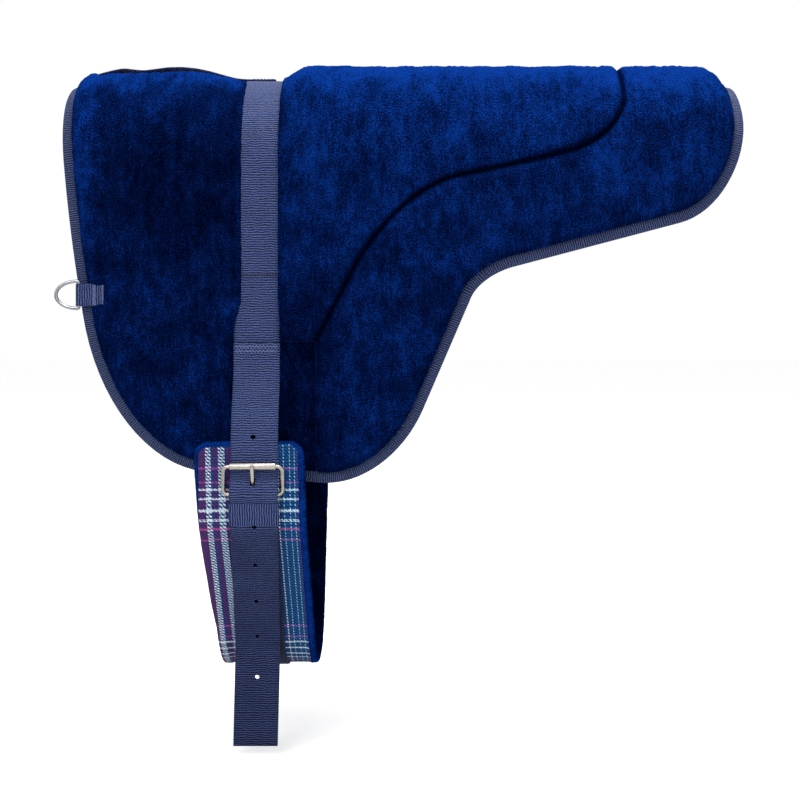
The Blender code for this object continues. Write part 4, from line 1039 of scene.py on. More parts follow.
class BuildBinding(bpy.types.Operator):
    """Adds the tape bound round the whole edge, folded over it and sewn through"""

    bl_idname = "pad.build_binding"
    bl_label = "Edge binding"

    def execute(self, context):
        sizes = context.scene.pad_sizes
        outline = pad_outline()
        into, runs = inward(outline), runs_along(outline)
        pucker = 0.00022 * np.sin(runs * math.tau / 0.0085 + 2.0 * rough(runs, runs * 0, 0.03, 31))
        low, high, leg, skin = BINDING_UNDER, BINDING_TOP, BINDING_LEG, BINDING_THICKNESS
        # The seam lies in a groove, so far in from the leg's end and so deep
        groove, dip = 0.0019, 0.0004
        # The tape's section, as distance in from the edge and height, and how much the stitching puckers it
        section = (
            (leg, high - skin, 0.0), (leg, high - skin * 0.35, 0.6), (leg - 0.0006, high, 0.8),
            (leg - groove, high - dip, 0), (leg - 0.0034, high, 1.0), (leg - 0.007, high, 0.7), (0.0028, high, 0.4),
            (0.0012, high - 0.0006, 0.3), (0.0003, high - 0.0018, 0.2), (0, (low + high) / 2, 0.1),
            (0.0003, low + 0.0015, 0.1), (0.0014, low + 0.0004, 0.1), (0.003, low, 0), (leg, low, 0),
            (leg, low + skin, 0), (skin + 0.001, low + skin, 0), (skin, low + skin + 0.001, 0),
            (skin, high - skin - 0.001, 0), (skin + 0.001, high - skin, 0),
        )
        spots = np.vstack([outline + into * inset for inset, _, _ in section])
        heights = np.concatenate([height + pucker * share for _, height, share in section])
        widths = runs_along(np.array(section)[:, :2])
        uv = np.vstack([np.stack([np.full(len(outline), across), runs], -1) for across in widths])
        faces = quads(len(section), len(outline), wrap_rows=True, wrap_columns=True)
        places = drape(*spots.T, heights)
        closed_piece("edge_binding", places, faces, "slate_navy_tape", "pad", uv, ["edge_binding"])
        pairs, ups = [], []
        line = resampled(outline + into * (leg - groove), sizes.stitch, closed=True)
        for height, lift in ((high - dip, 0.001), (low, -0.001)):
            places = drape(*line.T, height)
            over = drape(*line.T, height + lift)
            for here, there, up in zip(places, np.roll(places, -1, 0), over):
                pairs.append((here + (there - here) * 0.12, here + (there - here) * 0.82))
                ups.append((up - here) / 0.001)
        stitches("binding_stitching", pairs, ups, sizes.thread)
        return {"FINISHED"}


class BuildFleece(bpy.types.Operator):
    """Adds the plush in front of the strap, the quilted plush behind it, and the patch behind each billet"""

    bl_idname = "pad.build_fleece"
    bl_label = "Pad fleece"

    def execute(self, context):
        sizes = context.scene.pad_sizes
        outline, seam = pad_outline(), quilt_seam()
        height = sizes.pile_height
        step = sizes.pile_grid * 1

        def floor(points):
            return core_height(nearest(points, outline)[0]) + GAP

        def pile(points, shape, share, depth, seed, reach=0.030):
            edge = nearest(points, shape)[0]
            rise = share + (1 - share) * eased(edge / reach)
            return floor(points) + depth * rise + tufted(points, height, seed, 0.35 + 0.65 * eased(edge / 0.012))

        def rolled_over(x, reach, seed):
            """How far a rim rolls out at each place, where the strap's edge is at x and covers it by the reach."""

            def overhang(rim):
                # Down to the billet's top the plush rolls over the strap's edge, and beside the billet it ends short
                wild = 0.0005 * rough(*rim.T, 0.005, seed)
                beside = fading(np.abs(rim[:, 0] - x), 0.004)
                above = rising(0.325 - np.abs(rim[:, 1]), 0.03)
                return (0.0022 + wild) * (1 - beside * (1 - above)) + beside * (reach * above + 0.0002 * (1 - above))

            return overhang

        front = front_shape(outline)

        def front_pile(points):
            x, drop = points[:, 0], np.abs(points[:, 1])
            # The pile is pressed down where the handle comes back to the strap, and stands thick beside its middle
            # and along the front edge
            pressed = fading(drop, 0.075) * rising(x + 0.070, 0.03)
            thick = fading(np.abs(drop - 0.030), 0.020) * fading(np.abs(x + 0.105), 0.070)
            edge = fading(x + FRONT - BINDING_LEG, 0.014) * fading(drop, 0.11, 1.4)
            level = pile(points, front, 0.55, FRONT_PILE, 11)
            level += -0.0034 * eased(pressed) + 0.0034 * eased(thick) + 0.0058 * eased(edge)
            # Fingers have pressed a hollow under the middle of the handle
            hollow = rising(0.026 - np.abs(x + 0.101), 0.010) * rising(0.0265 - drop, 0.007)
            return np.minimum(level, FINGER_GAP_LOW + (1 - hollow) * 0.02)

        # Painted light and shade on the front plush: darker at its rim, down the middle of the panel and low down, and
        # brighter near the spine and along the front edge, where light falls
        def front_painted_light(points):
            x, drop = points[:, 0], np.abs(points[:, 1])
            edge = 0.2 * peak(nearest(points, front)[0], 0.003)
            up = eased(fading(drop, 0.075)) + 0.45 * eased(fading(x + FRONT, 0.05))
            middle = peak(drop - 0.17, 0.08) * fading(np.abs(x + 0.08), 0.09, 1.3)
            return edge - 0.85 * np.minimum(up, 1) + 0.55 * middle + 0.15 * rising(drop - 0.22, 0.1)

        overhang = rolled_over(-STRAP / 2 - GAP, 0.0062, 3)
        panel("front_plush", front, step, front_pile, floor, overhang, "fleece_front", front_painted_light)

        shape = rear_shape(outline)

        def rear_pile(points):
            edge = nearest(points, shape)[0]
            to_seam = nearest(points, seam, False)[0]
            # Over the spine the pile of both sides closes over the seam, and lower down the seam lies open
            shut = 0.55 * fading(np.abs(points[:, 1]), 0.06)
            foam = foam_rise(edge) * rising(edge - 0.002, 0.006)
            foam *= 1 - (1 - shut) * 0.55 * (1 - eased((to_seam - 0.001) / 0.011))
            at_edge = 0.55 + 0.45 * eased(edge / 0.030)
            at_seam = 1 - (1 - shut) * 0.56 * (1 - eased(to_seam / 0.0075))
            soft = 0.25 + 0.75 * eased(np.minimum(edge, to_seam) / 0.012)
            return floor(points) + foam + REAR_PILE * np.minimum(at_edge, at_seam) + tufted(points, height, 21, soft)

        # Painted shade in the seam's crease, at the rim and low down beside the strap, and painted light near the
        # spine, where light falls from above
        def rear_painted_light(points):
            drop = np.abs(points[:, 1])
            at_seam = peak(nearest(points, seam, False)[0], 0.0026)
            at_edge = 0.2 * peak(nearest(points, shape)[0], 0.003)
            up = 0.85 * eased(fading(drop, 0.085)) + 0.25 * eased(fading(drop, 0.16, 1.6))
            flat = 0.45 * fading(points[:, 0], 0.075, 1.4) * rising(drop - 0.27, 0.06)
            return np.maximum(at_seam, at_edge) * 1.2 - up * (1 - at_seam) + flat

        overhang = rolled_over(STRAP / 2 + GAP, 0.0006, 4)
        panel("rear_plush", shape, step, rear_pile, floor, overhang, "fleece_rear", rear_painted_light)

        for name, side in SIDES:
            patch = patch_shape(outline, side)
            # Each patch's pile is painted darker all over, and more at its rim, as shade
            panel(
                f"{name}_plush_patch", patch, step, lambda p: pile(p, patch, 0.4, FRONT_PILE * 0.8, 31, 0.020), floor,
                lambda rim: 0.0016 + 0.0004 * rough(*rim.T, 0.005, 5), f"{name}_fleece_patch",
                lambda p: 0.55 + 0.3 * peak(nearest(p, patch)[0], 0.003),
            )
        return {"FINISHED"}


class BuildSurcingle(bpy.types.Operator):
    """Adds the webbing laid over the spine, and the zigzag sewn across it above each billet"""

    bl_idname = "pad.build_surcingle"
    bl_label = "Surcingle"

    def execute(self, context):
        end = BILLET_TOP + LAP
        run = resampled(np.stack([np.zeros(2), np.array((end, -end))], -1), SPACING)[:, 1]
        wave = 0.0004 * rough(run, run * 0, 0.05, 14)
        line = drape(wave, run, WEB_LEVEL + WEB / 2 + 0.00025 * rough(run, run * 0, 0.035, 15))
        look = "slate_navy_webbing"
        strap("surcingle_strap", line, (1, 0, 0), STRAP, WEB, look, "pad", (0, -1, 0.1), ["surcingle"])
        # The strap is joined above each billet by a zigzag across it
        pairs, ups = [], []
        for _, side in SIDES:
            for stitch in zigzag(STRAP / 2 - 0.002, 31, 0.0012):
                pairs.append([drape(x, side * (JOIN_DROP + lift), WEB_LEVEL + WEB) for x, lift in stitch])
                ups.append(out_of_flank(side))
        stitches("surcingle_stitching", pairs, ups, context.scene.pad_sizes.thread * 1.4)
        return {"FINISHED"}


def billet_heights():
    """t and n of a billet's middle, from its top to the girth's bend."""
    steps = (
        (BILLET_TOP, STRAP_LEVEL + BILLET / 2),
        (BILLET_TOP + 0.028, STRAP_LEVEL + BILLET / 2),
        (0.4425, BEHIND_ROLLER),
        (0.4795, BEHIND_ROLLER),
        (0.4935, OVER_BAR),
        (0.5038, OVER_BAR),
        (GIRTH_BEND, KEPT_LEVEL),
    )
    line = [steps[0]]
    for (t0, n0), (t1, n1) in zip(steps, steps[1:]):
        for share in np.arange(1, 9) / 8:
            line.append((t0 + (t1 - t0) * share, n0 + (n1 - n0) * smooth(share)))
    return softened(np.array(line), 0.002, 3)


def strap_end(side):
    """How far a billet's end is from the girth's bend."""
    return TAIL_START + (TAIL_LENGTH if side > 0 else FAR_TAIL)


class BuildBillets(bpy.types.Operator):
    """Adds each billet: sewn over the surcingle's end, down through the buckle and keeper, with its tail hanging"""

    bl_idname = "pad.build_billets"
    bl_label = "Billets"

    def execute(self, context):
        for name, side in SIDES:
            total = strap_end(side)
            course, upper = strap_course(total), billet_heights()
            count = int(total / SPACING)
            lower = [course.at(total * k / count) for k in range(1, count + 1)]
            places = np.array([np.r_[0.0, place] for place in [flank(t, n) for t, n in upper] + lower])
            runs = runs_along(places)
            split = runs[len(upper) - 1]
            places[:, 0] -= TAIL_LEAN * rising(runs - split - TAIL_START, TAIL_LENGTH)
            places[:, 1] *= side
            made = strap(
                f"{name}_billet_strap", places, (1, 0, 0), STRAP, BILLET * 0.93, "slate_navy_webbing", None,
                (0, -side, 0.1), [f"{name}_billet", f"{name}_billet_tail"],
            )
            # Below the buckle the strap is drawn darker
            rise = np.array([vertex.co.z for vertex in made.data.vertices])
            darkened(made, rising(flank(BAR, 0)[1] - 0.01 - rise, 0.04))
            self.punch(made, self.holes(upper, course, total, side))
            slot = (buckle_x(side), *(flank(BAR - PRONG_SLOT_PLACE, BAR_LEVEL + 0.0046) * (side, 1)))
            cut_boxes(made, [(placed(facing(side, PRONG_SLOT_TILT), slot), PRONG_SLOT)])
            # Between these two places along it the strap bends into its tail
            start, end = (
                tuple(float(np.interp(split + TAIL_START + past, runs, places[:, i])) for i in range(3))
                for past in (-0.010, 0.022)
            )
            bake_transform(made)
            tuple(start)
            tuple(end)
        return {"FINISHED"}

    @staticmethod
    def holes(upper, course, total, side):
        """Places and directions of the holes, each where the solids have it."""
        found = []
        for s in FIRST_HOLE + HOLE_PITCH * np.arange(5):
            if s < total - 0.02:
                x = -TAIL_LEAN * max(0, (s - TAIL_START)) / TAIL_LENGTH
                found.append((x, course.at(s), course.at(s, 0.01)))
        t = BAR - PRONG_SLOT_PLACE - HOLE_PITCH + 0.0027
        n = float(np.interp(t, *upper.T))
        found.append((buckle_x(side), flank(t, n), flank(t, n + 0.01)))
        return [
            (np.array((x, y * side, z)), np.array((0, (y2 - y) * side, z2 - z)) / 0.01) for x, (y, z), (y2, z2) in found
        ]

    @staticmethod
    def punch(made, holes):
        bm = bmesh.new()
        for place, way in holes:
            turn = placed(Vector(way).to_track_quat("Z", "Y").to_matrix(), place)
            bmesh.ops.create_cone(
                bm, cap_ends=True, segments=24, radius1=HOLE_RADIUS, radius2=HOLE_RADIUS, depth=0.012, matrix=turn
            )
        subtract(made, bm)


def girth_outline(inset=0.0):
    """The girth's edge in its own plane, as places across and along, moved in by the inset."""
    half, length = GIRTH_HALF_WIDTH - inset, GIRTH_HALF - inset
    corner = max(GIRTH_CORNER - inset, 0.002)
    return resampled(ring_of(half, -length, length, corner, 12), SPACING, closed=True)


def drawn_in(edge, moves):
    """The girth's edge with its front side moved by so much at each distance from the girth's ends."""
    moved = np.interp(GIRTH_HALF - np.abs(edge[:, 1]), *zip(*moves))
    edge[:, 0] += moved * rising(-edge[:, 0], 0.046)
    return edge


def lining_edge():
    """The edge of the girth's plush."""
    moves = ((0.0, -0.0040), (0.03, -0.0034), (0.11, 0.0002), (0.19, 0.0034), (0.23, 0.0062))
    return drawn_in(girth_outline(0.0036), moves)


# The curl of the girth's plush, from the horse's side round the edge and in over the cover: reach out and height
CURL = (
    (0.0014, 0.0034), (0.0024, 0.0062), (0.0026, 0.0092), (0.0019, 0.0122), (0.0004, 0.0142), (-0.0014, 0.0148),
    (-0.0030, 0.0147), (-0.0044, 0.0143), (-0.0052, 0.0139), (-0.0056, 0.0132), (-0.0054, 0.0120), (-0.0050, 0.0100),
    (-0.0049, 0.0074),
)


class BuildGirth(bpy.types.Operator):
    """Adds the girth: plush next to the horse that curls up round the felt core and its plaid cover"""

    bl_idname = "pad.build_girth"
    bl_label = "Girth"

    def execute(self, context):
        sizes = context.scene.pad_sizes
        self.lining(sizes)
        inset = GIRTH_RIM + 2 * GAP
        # The cloth is sewn down nearer to the girth's front edge than to its rear one
        moves = ((0.0, -0.0054), (0.03, -0.0058), (0.11, -0.0072), (0.19, -0.0042), (0.23, -0.0014))
        edge = drawn_in(girth_outline(inset), moves)
        at_end = np.abs(edge[:, 1]) > GIRTH_HALF - 0.03
        edge[:, 1] += np.sign(edge[:, 1]) * (0.0025 + 0.0022 * edge[:, 0] / 0.05) * at_end
        points, faces, rim = lattice_in(edge, 0.0040)
        # Near the plush's edge the cloth lies over its curl
        plush_edge = lining_edge()
        over = rising(0.0086 - nearest(points, plush_edge)[0], 0.0030)
        over[~inside(points, plush_edge)] = 1
        top = GIRTH_RIM_HEIGHT + 0.0016 * smooth(over)
        # Stretched over the core, the cloth dips to its edge and has soft ripples across
        ripples = 0.00045 * rough(*points.T, 0.016, 51, 0.7)
        top += ripples - 0.0005 * fading(nearest(points, edge)[0], 0.004)
        rim = round_rim(rim)
        cover = closed_sheet(
            "plaid_cover", points, faces, rim, top - 0.0007, top, on_girth, "plaid_cloth", "girth_cover"
        )
        abs(area_in(edge))
        points, faces, rim = lattice_in(girth_outline(inset), HIDDEN_GRID)
        low = np.full(len(points), GIRTH_LINING + GAP)
        rim = round_rim(rim)
        core = closed_sheet("girth_felt", points, faces, rim, low, low + 0.005, on_girth, "grey_felt", "girth_core")
        return {"FINISHED"}

    @staticmethod
    def lining(sizes):
        edge = lining_edge()
        points, faces, rim = lattice_in(edge, sizes.pile_grid * 1.25)
        under = 0.0030 * (1 - eased(nearest(points, edge)[0] / 0.010)) - tufted(points, sizes.pile_height, 61, 0.7)
        out = away(points[rim], edge, 0.002)
        spots, heights = [points], [under]
        for number, (reach, height) in enumerate(CURL):
            here = points[rim] + out * reach
            soft = math.sin(math.pi * min(1, number / (len(CURL) - 3)))
            bump = tufted(here + number * 0.0017, sizes.pile_height * 0.7, 63, soft)
            # The tufts stand out sideways up to the curl's top, and past it mostly up
            spots.append(here + out * (bump * (0.6 if number < 6 else 0.2))[:, None])
            # At the front edge the cover lies on the curl, which it holds down
            held = np.clip(0.4 - out[:, 0] * 2, 0, 1) * (number > 4)
            level = height + bump * (0.2 if number < 4 else 0.7)
            heights.append(level + held * (np.minimum(level, 0.0139 - 0.0003 * (number > 7)) - level))
        rolled = rolled_faces(rim, len(points), len(CURL))[:, (1, 0, 3, 2)]
        made_faces = np.vstack([faces[:, ::-1], rolled]).tolist()
        spots = np.vstack(spots)
        places = on_girth(*spots.T, np.concatenate(heights))
        made = piece(
            "girth_plush", places, made_faces, "girth_fleece", "pad", spots, ["girth_lining"], "navy_fleece"
        )
        # Painted light and shade: the top of the curl is painted bright, and the face next to the horse, the curl's
        # side and its end under the cover are painted dark
        rolled = np.interp(np.arange(len(CURL)), (0, 2, 4, 9, 12), (0.5, 0.2, -0.7, -0.8, 0.6))
        darkened(made, np.r_[np.full(len(points), 0.75), np.repeat(rolled, len(rim))])


class BuildGirthWeb(bpy.types.Operator):
    """Adds the webbing sewn along the girth, folded round each buckle's bar and back down"""

    bl_idname = "pad.build_girth_web"
    bl_label = "Girth webbing and keepers"

    def execute(self, context):
        bend = GIRTH_HALF - (GIRTH_BEND - GIRTH_END)
        centre = GIRTH_WEB_LEVEL + WEB / 2
        line = [(*GIRTH.at(s, centre - GIRTH_LEVEL), s) for s in np.arange(0, bend, SPACING)]
        radius = BUCKLE_WIRE + GAP + WEB / 2
        # The webbing lies round the bar for 216 degrees
        for step in range(25):
            angle = math.radians(216) * step / 24
            out, up = BAR_LEVEL - radius * math.cos(angle), radius * math.sin(angle)
            line.append((*flank(BAR - up, out), bend + GIRTH_BEND - BAR + up))
        fold = 0.0398
        line.append((*flank(GIRTH_BEND, fold), bend))
        for s in np.arange(bend - 0.002, bend - 0.034, -0.002):
            line.append((*GIRTH.at(s, fold - GIRTH_LEVEL), s))
        near = np.array(line)
        far = near[:0:-1] * (-1, 1, -1)
        whole = np.vstack([far, near])
        places = np.stack([-WEB_LEAN * whole[:, 2] / GIRTH_HALF, whole[:, 0], whole[:, 1]], -1)
        # The girth's webbing is painted darker all along, in place of the shadow that the hanging tail casts beside it
        made = strap("girth_strap", places, (1, 0, 0), STRAP, WEB, "tail_webbing", "pad", (0, 0, 1), ["girth_web"])
        # A slot in each fold leaves room for the prong's eye
        slots = [(buckle_x(side), *(flank(BAR, BAR_LEVEL + 0.001) * (side, 1))) for _, side in SIDES]
        turns = [placed(facing(side), slot) for (_, side), slot in zip(SIDES, slots)]
        cut_boxes(made, [(turn, FOLD_SLOT) for turn in turns])
        self.keepers()
        return {"FINISHED"}

    @staticmethod
    def keepers():
        """A band of webbing right round each billet, with its ribs lying along the billet."""
        half, rise = STRAP / 2 + GAP + KEEPER, BILLET / 2 + GAP + KEEPER
        section = resampled(ring_of(half, -rise, rise, 0.0014, 4), 0.0022, closed=True)
        inner = section * ((half - KEEPER) / half, (rise - KEEPER) / rise)
        turns, course = runs_along(section), strap_course(strap_end(1))
        # The band's rounded edge: places in from it, and how much of the band's thickness there is at each
        rows = [(0.0005, 0.0), (0.0, 0.5), (0.0003, 0.9), (0.0016, 1.0)]
        first, last = KEEPER_START, KEEPER_START + KEEPER_LENGTH
        stops = [(first + inset, full) for inset, full in rows]
        stops += [(first + s, 1.0) for s in np.linspace(0.003, KEEPER_LENGTH - 0.003, 8)]
        stops += [(last - inset, full) for inset, full in rows[::-1]] + [(last - 0.0005, 0.0), (first + 0.0005, 0.0)]
        for name, side in SIDES:
            verts, uv = [], []
            for s, full in stops:
                for (x, h), (xi, hi), turn in zip(section, inner, turns):
                    y, z = course.at(s, hi + (h - hi) * full)
                    verts.append((xi + (x - xi) * full, y * side, z))
                    uv.append((s, turn))
            faces = quads(len(stops), len(section), wrap_rows=True, wrap_columns=True)
            closed_piece(f"{name}_keeper_loop", verts, faces, "slate_navy_webbing", "pad", uv, [f"{name}_keeper"])


def cut_boxes(made, boxes):
    """Takes boxes out of a piece. Each is a placing and its three sizes."""
    bm = bmesh.new()
    for turn, size in boxes:
        corners = bmesh.ops.create_cube(bm, size=1.0)["verts"]
        bmesh.ops.scale(bm, verts=corners, vec=size)
        bmesh.ops.transform(bm, verts=corners, matrix=turn)
    subtract(made, bm)


def subtract(made, bm, operation="DIFFERENCE"):
    """Cuts a piece by what is in bm, or joins it on, and keeps the result as its mesh."""
    mesh = bpy.data.meshes.new("tool")
    bm.to_mesh(mesh)
    bm.free()
    cutter = linked("tool", mesh)
    bpy.context.view_layer.update()
    cutter.matrix_world = made.matrix_world.copy()
    cut = made.modifiers.new("tool", "BOOLEAN")
    cut.operation, cut.solver, cut.object = operation, "EXACT", cutter
    bpy.context.view_layer.update()
    result = bpy.data.meshes.new_from_object(made.evaluated_get(bpy.context.evaluated_depsgraph_get()))
    made.modifiers.clear()
    old = made.data
    made.data = result
    bpy.data.meshes.remove(old)
    bpy.data.objects.remove(cutter)


def buckle_x(side):
    return -side * WEB_LEAN * (GIRTH_HALF - (BAR - GIRTH_END)) / GIRTH_HALF


class BuildHandle(bpy.types.Operator):
    """Adds the grab handle over the front of the spine, sewn down at both ends"""

    bl_idname = "pad.build_handle"
    bl_label = "Grab handle"

    def execute(self, context):
        front = -0.202
        rise = (
            (0.15, 0.90), (0.20, 0.95), (0.26, 0.90), (0.31, 0.87), (0.37, 0.92), (0.45, 0.99), (0.53, 1.0),
            (0.61, 0.95), (0.69, 0.84), (0.77, 0.69), (0.84, 0.57),
        )
        route = [(front, 0.0150), (-0.1959, 0.0202), (-0.188, 0.0235)]
        route += [(front * (1 - share), HANDLE_HEIGHT * height) for share, height in rise]
        route += [(-0.0251, 0.0168), (-0.018, 0.0164), (0.012, 0.0164)]
        route = softened(np.array(route), 0.002, 4)
        places = np.stack([route[:, 0], np.zeros(len(route)), route[:, 1] - HANDLE_THICKNESS / 2], -1)
        strap(
            "handle_strap", places, (0, 1, 0), HANDLE_WIDTH, HANDLE_THICKNESS * 0.92, "slate_navy_webbing", "pad",
            (0, 0, 1), ["grab_handle"], bow=HANDLE_BOW,
        )
        # A box with a cross in it at each end
        sizes, pairs = context.scene.pad_sizes, []
        for low, high in ((-0.2005, -0.189), (-0.014, 0.0105)):
            half = HANDLE_WIDTH / 2 - 0.002
            corners = np.array([(low, -half), (high, -half), (high, half), (low, half)])
            route_round = corners[[0, 1, 2, 3, 0, 2, 1, 3]]
            for a, b in zip(route_round, route_round[1:]):
                count = max(2, round(math.dist(a, b) / sizes.stitch))
                for k in range(count):
                    ends = [a + (b - a) * (k + share) / count for share in THREAD_SPAN]
                    tops = [np.interp(x, *route.T) - t * t / (2 * HANDLE_BOW) - 0.0001 for x, t in ends]
                    pairs.append([(x, t, top) for (x, t), top in zip(ends, tops)])
        ups = [(0, 0, 1)] * len(pairs)
        stitches("handle_stitching", pairs, ups, sizes.thread, slot="slate_navy_webbing")
        return {"FINISHED"}


class BuildRings(bpy.types.Operator):
    """Adds the fold of webbing at each front edge, and the D-ring that it holds"""

    bl_idname = "pad.build_rings"
    bl_label = "Ring tabs and D-rings"

    def execute(self, context):
        sizes = context.scene.pad_sizes
        lower, upper = RING_LEVEL - 0.0008, RING_LEVEL + 0.0008
        fold = 0.003
        line = [(x, lower) for x in np.linspace(TAB_END, RING_BAR_X + 2 * fold, 9)]
        for step in range(17):
            angle = math.pi * step / 16
            line.append((RING_BAR_X - fold * math.sin(angle), RING_LEVEL - fold * math.cos(angle)))
        line += [(x, upper) for x in np.linspace(RING_BAR_X + 2 * fold, TAB_END, 9)]
        line = softened(np.array(line), 0.0012, 2)
        half = RING_INNER / 2 + RING_WIRE
        corner, reach = RING_CORNER, RING_DEPTH - RING_CORNER
        quarter = [math.pi / 2 * step / 5 for step in range(6)]
        bow = [math.pi * step / 40 for step in range(1, 40)]
        ring = [(0, y) for y in np.linspace(-half + corner, half - corner, 12)]
        ring += [(-corner * (1 - math.cos(a)), half - corner * (1 - math.sin(a))) for a in quarter[1:]]
        ring += [(-corner - reach * math.sin(a), half * math.cos(a)) for a in bow]
        ring += [(-corner * (1 - math.sin(a)), -half + corner * (1 - math.cos(a))) for a in quarter[:-1]]
        for name, side in SIDES:
            down, outward = np.array((0, -side * math.cos(ARCH), -math.sin(ARCH))), out_of_flank(side)
            places = drape(line[:, 0], side * RING_DROP, line[:, 1])
            strap(
                f"{name}_ring_loop", places, down, TAB_WIDTH, TAB, "slate_navy_webbing", "pad", -outward,
                [f"{name}_ring_tab"],
            )
            turn, middle = facing(side), drape(RING_BAR_X, side * RING_DROP, RING_LEVEL)
            bent = [middle + np.array(turn @ Vector((side * x, y, 0))) for x, y in ring]
            wire(f"{name}_d_ring", bent, RING_WIRE, "bright_steel", f"{name}_ring", f"{name}_d_ring")
            # Two narrow zigzags across each tab
            pairs = [
                [drape(x + lift, side * (RING_DROP + t), upper + TAB / 2) for t, lift in stitch]
                for x in (TAB_END - 0.0026, TAB_END - 0.0120)
                for stitch in zigzag(TAB_WIDTH / 2 - 0.0015, 19, -0.0018)
            ]
            stitches(f"{name}_tab_stitching", pairs, [outward] * len(pairs), sizes.thread, "pale_thread")
        return {"FINISHED"}


def whole_profile(half):
    """A profile as radii and places along the axis, from the half of it that is at negative places."""
    return half + [(radius, -place) for radius, place in half[::-1]]


def turned(profile, steps, local, height):
    """Places and faces of a profile turned about the bar's direction, so high above the bar."""
    verts = []
    for c, s in around(steps):
        verts += [local(x, height + r * c, r * s) for r, x in profile]
    return verts, quads(steps, len(profile), wrap_rows=True, wrap_columns=True)


class BuildBuckles(bpy.types.Operator):
    """Adds the roller buckles: frame, roller and prong, each on its own joint"""

    bl_idname = "pad.build_buckles"
    bl_label = "Roller buckles"

    def execute(self, context):
        outline = resampled(ring_of(BUCKLE_HALF, 0, BUCKLE_HEIGHT, BUCKLE_CORNER, 8), 0.0015, closed=True)
        bore, end, outer = BUCKLE_WIRE + GAP, ROLLER_LENGTH / 2, ROLLER_RADIUS
        profile = whole_profile([
            (bore, -end + 0.0003), (bore + 0.0003, -end), (outer - 0.0006, -end), (outer - 0.0001, -end + 0.0003),
            (outer, -end + 0.0009),
        ])
        for name, side in SIDES:
            turn = facing(side, BUCKLE_TILT)
            bar = np.r_[buckle_x(side), flank(BAR, BAR_LEVEL) * (side, 1)]

            def local(x, up, out):
                return bar + np.array(turn @ Vector((x, up, out)))

            bent = [local(x, y, 0) for x, y in outline]
            wire(f"{name}_buckle_wire", bent, BUCKLE_WIRE, "satin_nickel", f"{name}_buckle", f"{name}_buckle_frame")
            verts, faces = turned(profile, 40, local, BUCKLE_HEIGHT)
            closed_piece(
                f"{name}_roller_sleeve", verts, faces, "satin_nickel", f"{name}_roller_tube",
                replaces=[f"{name}_roller"],
            )
            self.prong(name, local)
        return {"FINISHED"}

    @staticmethod
    def prong(name, local):
        """A finger of thick wire from an eye that goes round the bar."""
        shares = ((0.13, 0.01), (0.33, 0.04), (0.50, 0.105), (0.80, 0.215), (1.02, 0.272), (1.13, 0.262))
        line = softened(np.array(shares) * BUCKLE_HEIGHT, 0.001, 3)
        verts, sides, count = [], 16, len(line)
        for number, ((up, out), (a, b)) in enumerate(zip(line, unit(np.gradient(line, axis=0)))):
            # The finger thins over its last quarter, and its very end is worn round
            thin = 1 - 0.35 * max(0, (number / (count - 1) - 0.75) / 0.25) ** 2
            if number == count - 1:
                thin *= 0.55
            for c, s in around(sides):
                x, rise = 0.0021 * thin * c, 0.0016 * thin * s
                verts.append(local(x, up - b * rise, out + a * rise))
        faces = quads(count, sides, wrap_columns=True) + caps(count, sides)
        made = closed_piece(
            f"{name}_prong_wire", verts, faces, "satin_nickel", f"{name}_prong_bar", replaces=[f"{name}_prong"]
        )
        bore, outer, half, soft = BUCKLE_WIRE + GAP, 0.0042, 0.0023, 0.0005
        profile = [(bore, -half + soft), (bore + soft * 0.6, -half), (outer - soft, -half), (outer, -half + soft)]
        verts, faces = turned(whole_profile(profile), 32, local, 0)
        bm = bmesh.new()
        verts = [bm.verts.new(place) for place in verts]
        for face in faces:
            bm.faces.new([verts[i] for i in face])
        bmesh.ops.recalc_face_normals(bm, faces=bm.faces[:])
        subtract(made, bm, "UNION")
        made.data.shade_smooth()


class BuildStitching(bpy.types.Operator):
    """Adds the sewing that shows: each billet's zigzag and tail hem"""

    bl_idname = "pad.build_stitching"
    bl_label = "Strap stitching"

    def execute(self, context):
        sizes = context.scene.pad_sizes
        half = STRAP / 2 - 0.003
        for name, side in SIDES:
            pairs = [
                [drape(x, side * (BILLET_TOP + drop + rise), STRAP_LEVEL + BILLET) for x, rise in stitch]
                for drop in (0.0045, 0.0095)
                for stitch in zigzag(half, 25, 0.0016)
            ]
            ups = [out_of_flank(side)] * len(pairs)
            stitches(f"{name}_billet_stitching", pairs, ups, sizes.thread, "pale_thread")
            # The tail's hem is a straight row near its end
            total = strap_end(side)
            s = total - 0.0045
            lean = -TAIL_LEAN * (s - TAIL_START) / TAIL_LENGTH
            y, z = strap_course(total).at(s, BILLET * 0.47)
            count = round(2 * half / sizes.stitch)
            pairs = [
                [(-half + 2 * half * (k + share) / count + lean, y * side, z) for share in THREAD_SPAN]
                for k in range(count)
            ]
            stitches(f"{name}_tail_stitching", pairs, [(0, -side, 0)] * count, sizes.thread, body=f"{name}_tail")
        return {"FINISHED"}


def flat_sheet(name, corners, material):
    """A single face for the stage."""
    mesh = bpy.data.meshes.new(name)
    mesh.from_pydata(corners, [], [(0, 1, 2, 3)])
    mesh.materials.append(material)
    return linked(name, mesh)


def aimed(made, place, aim):
    """Puts a lamp or a camera in its place, looking at another."""
    made.location = place
    made.rotation_euler = (Vector(aim) - Vector(place)).to_track_quat("-Z", "Y").to_euler()


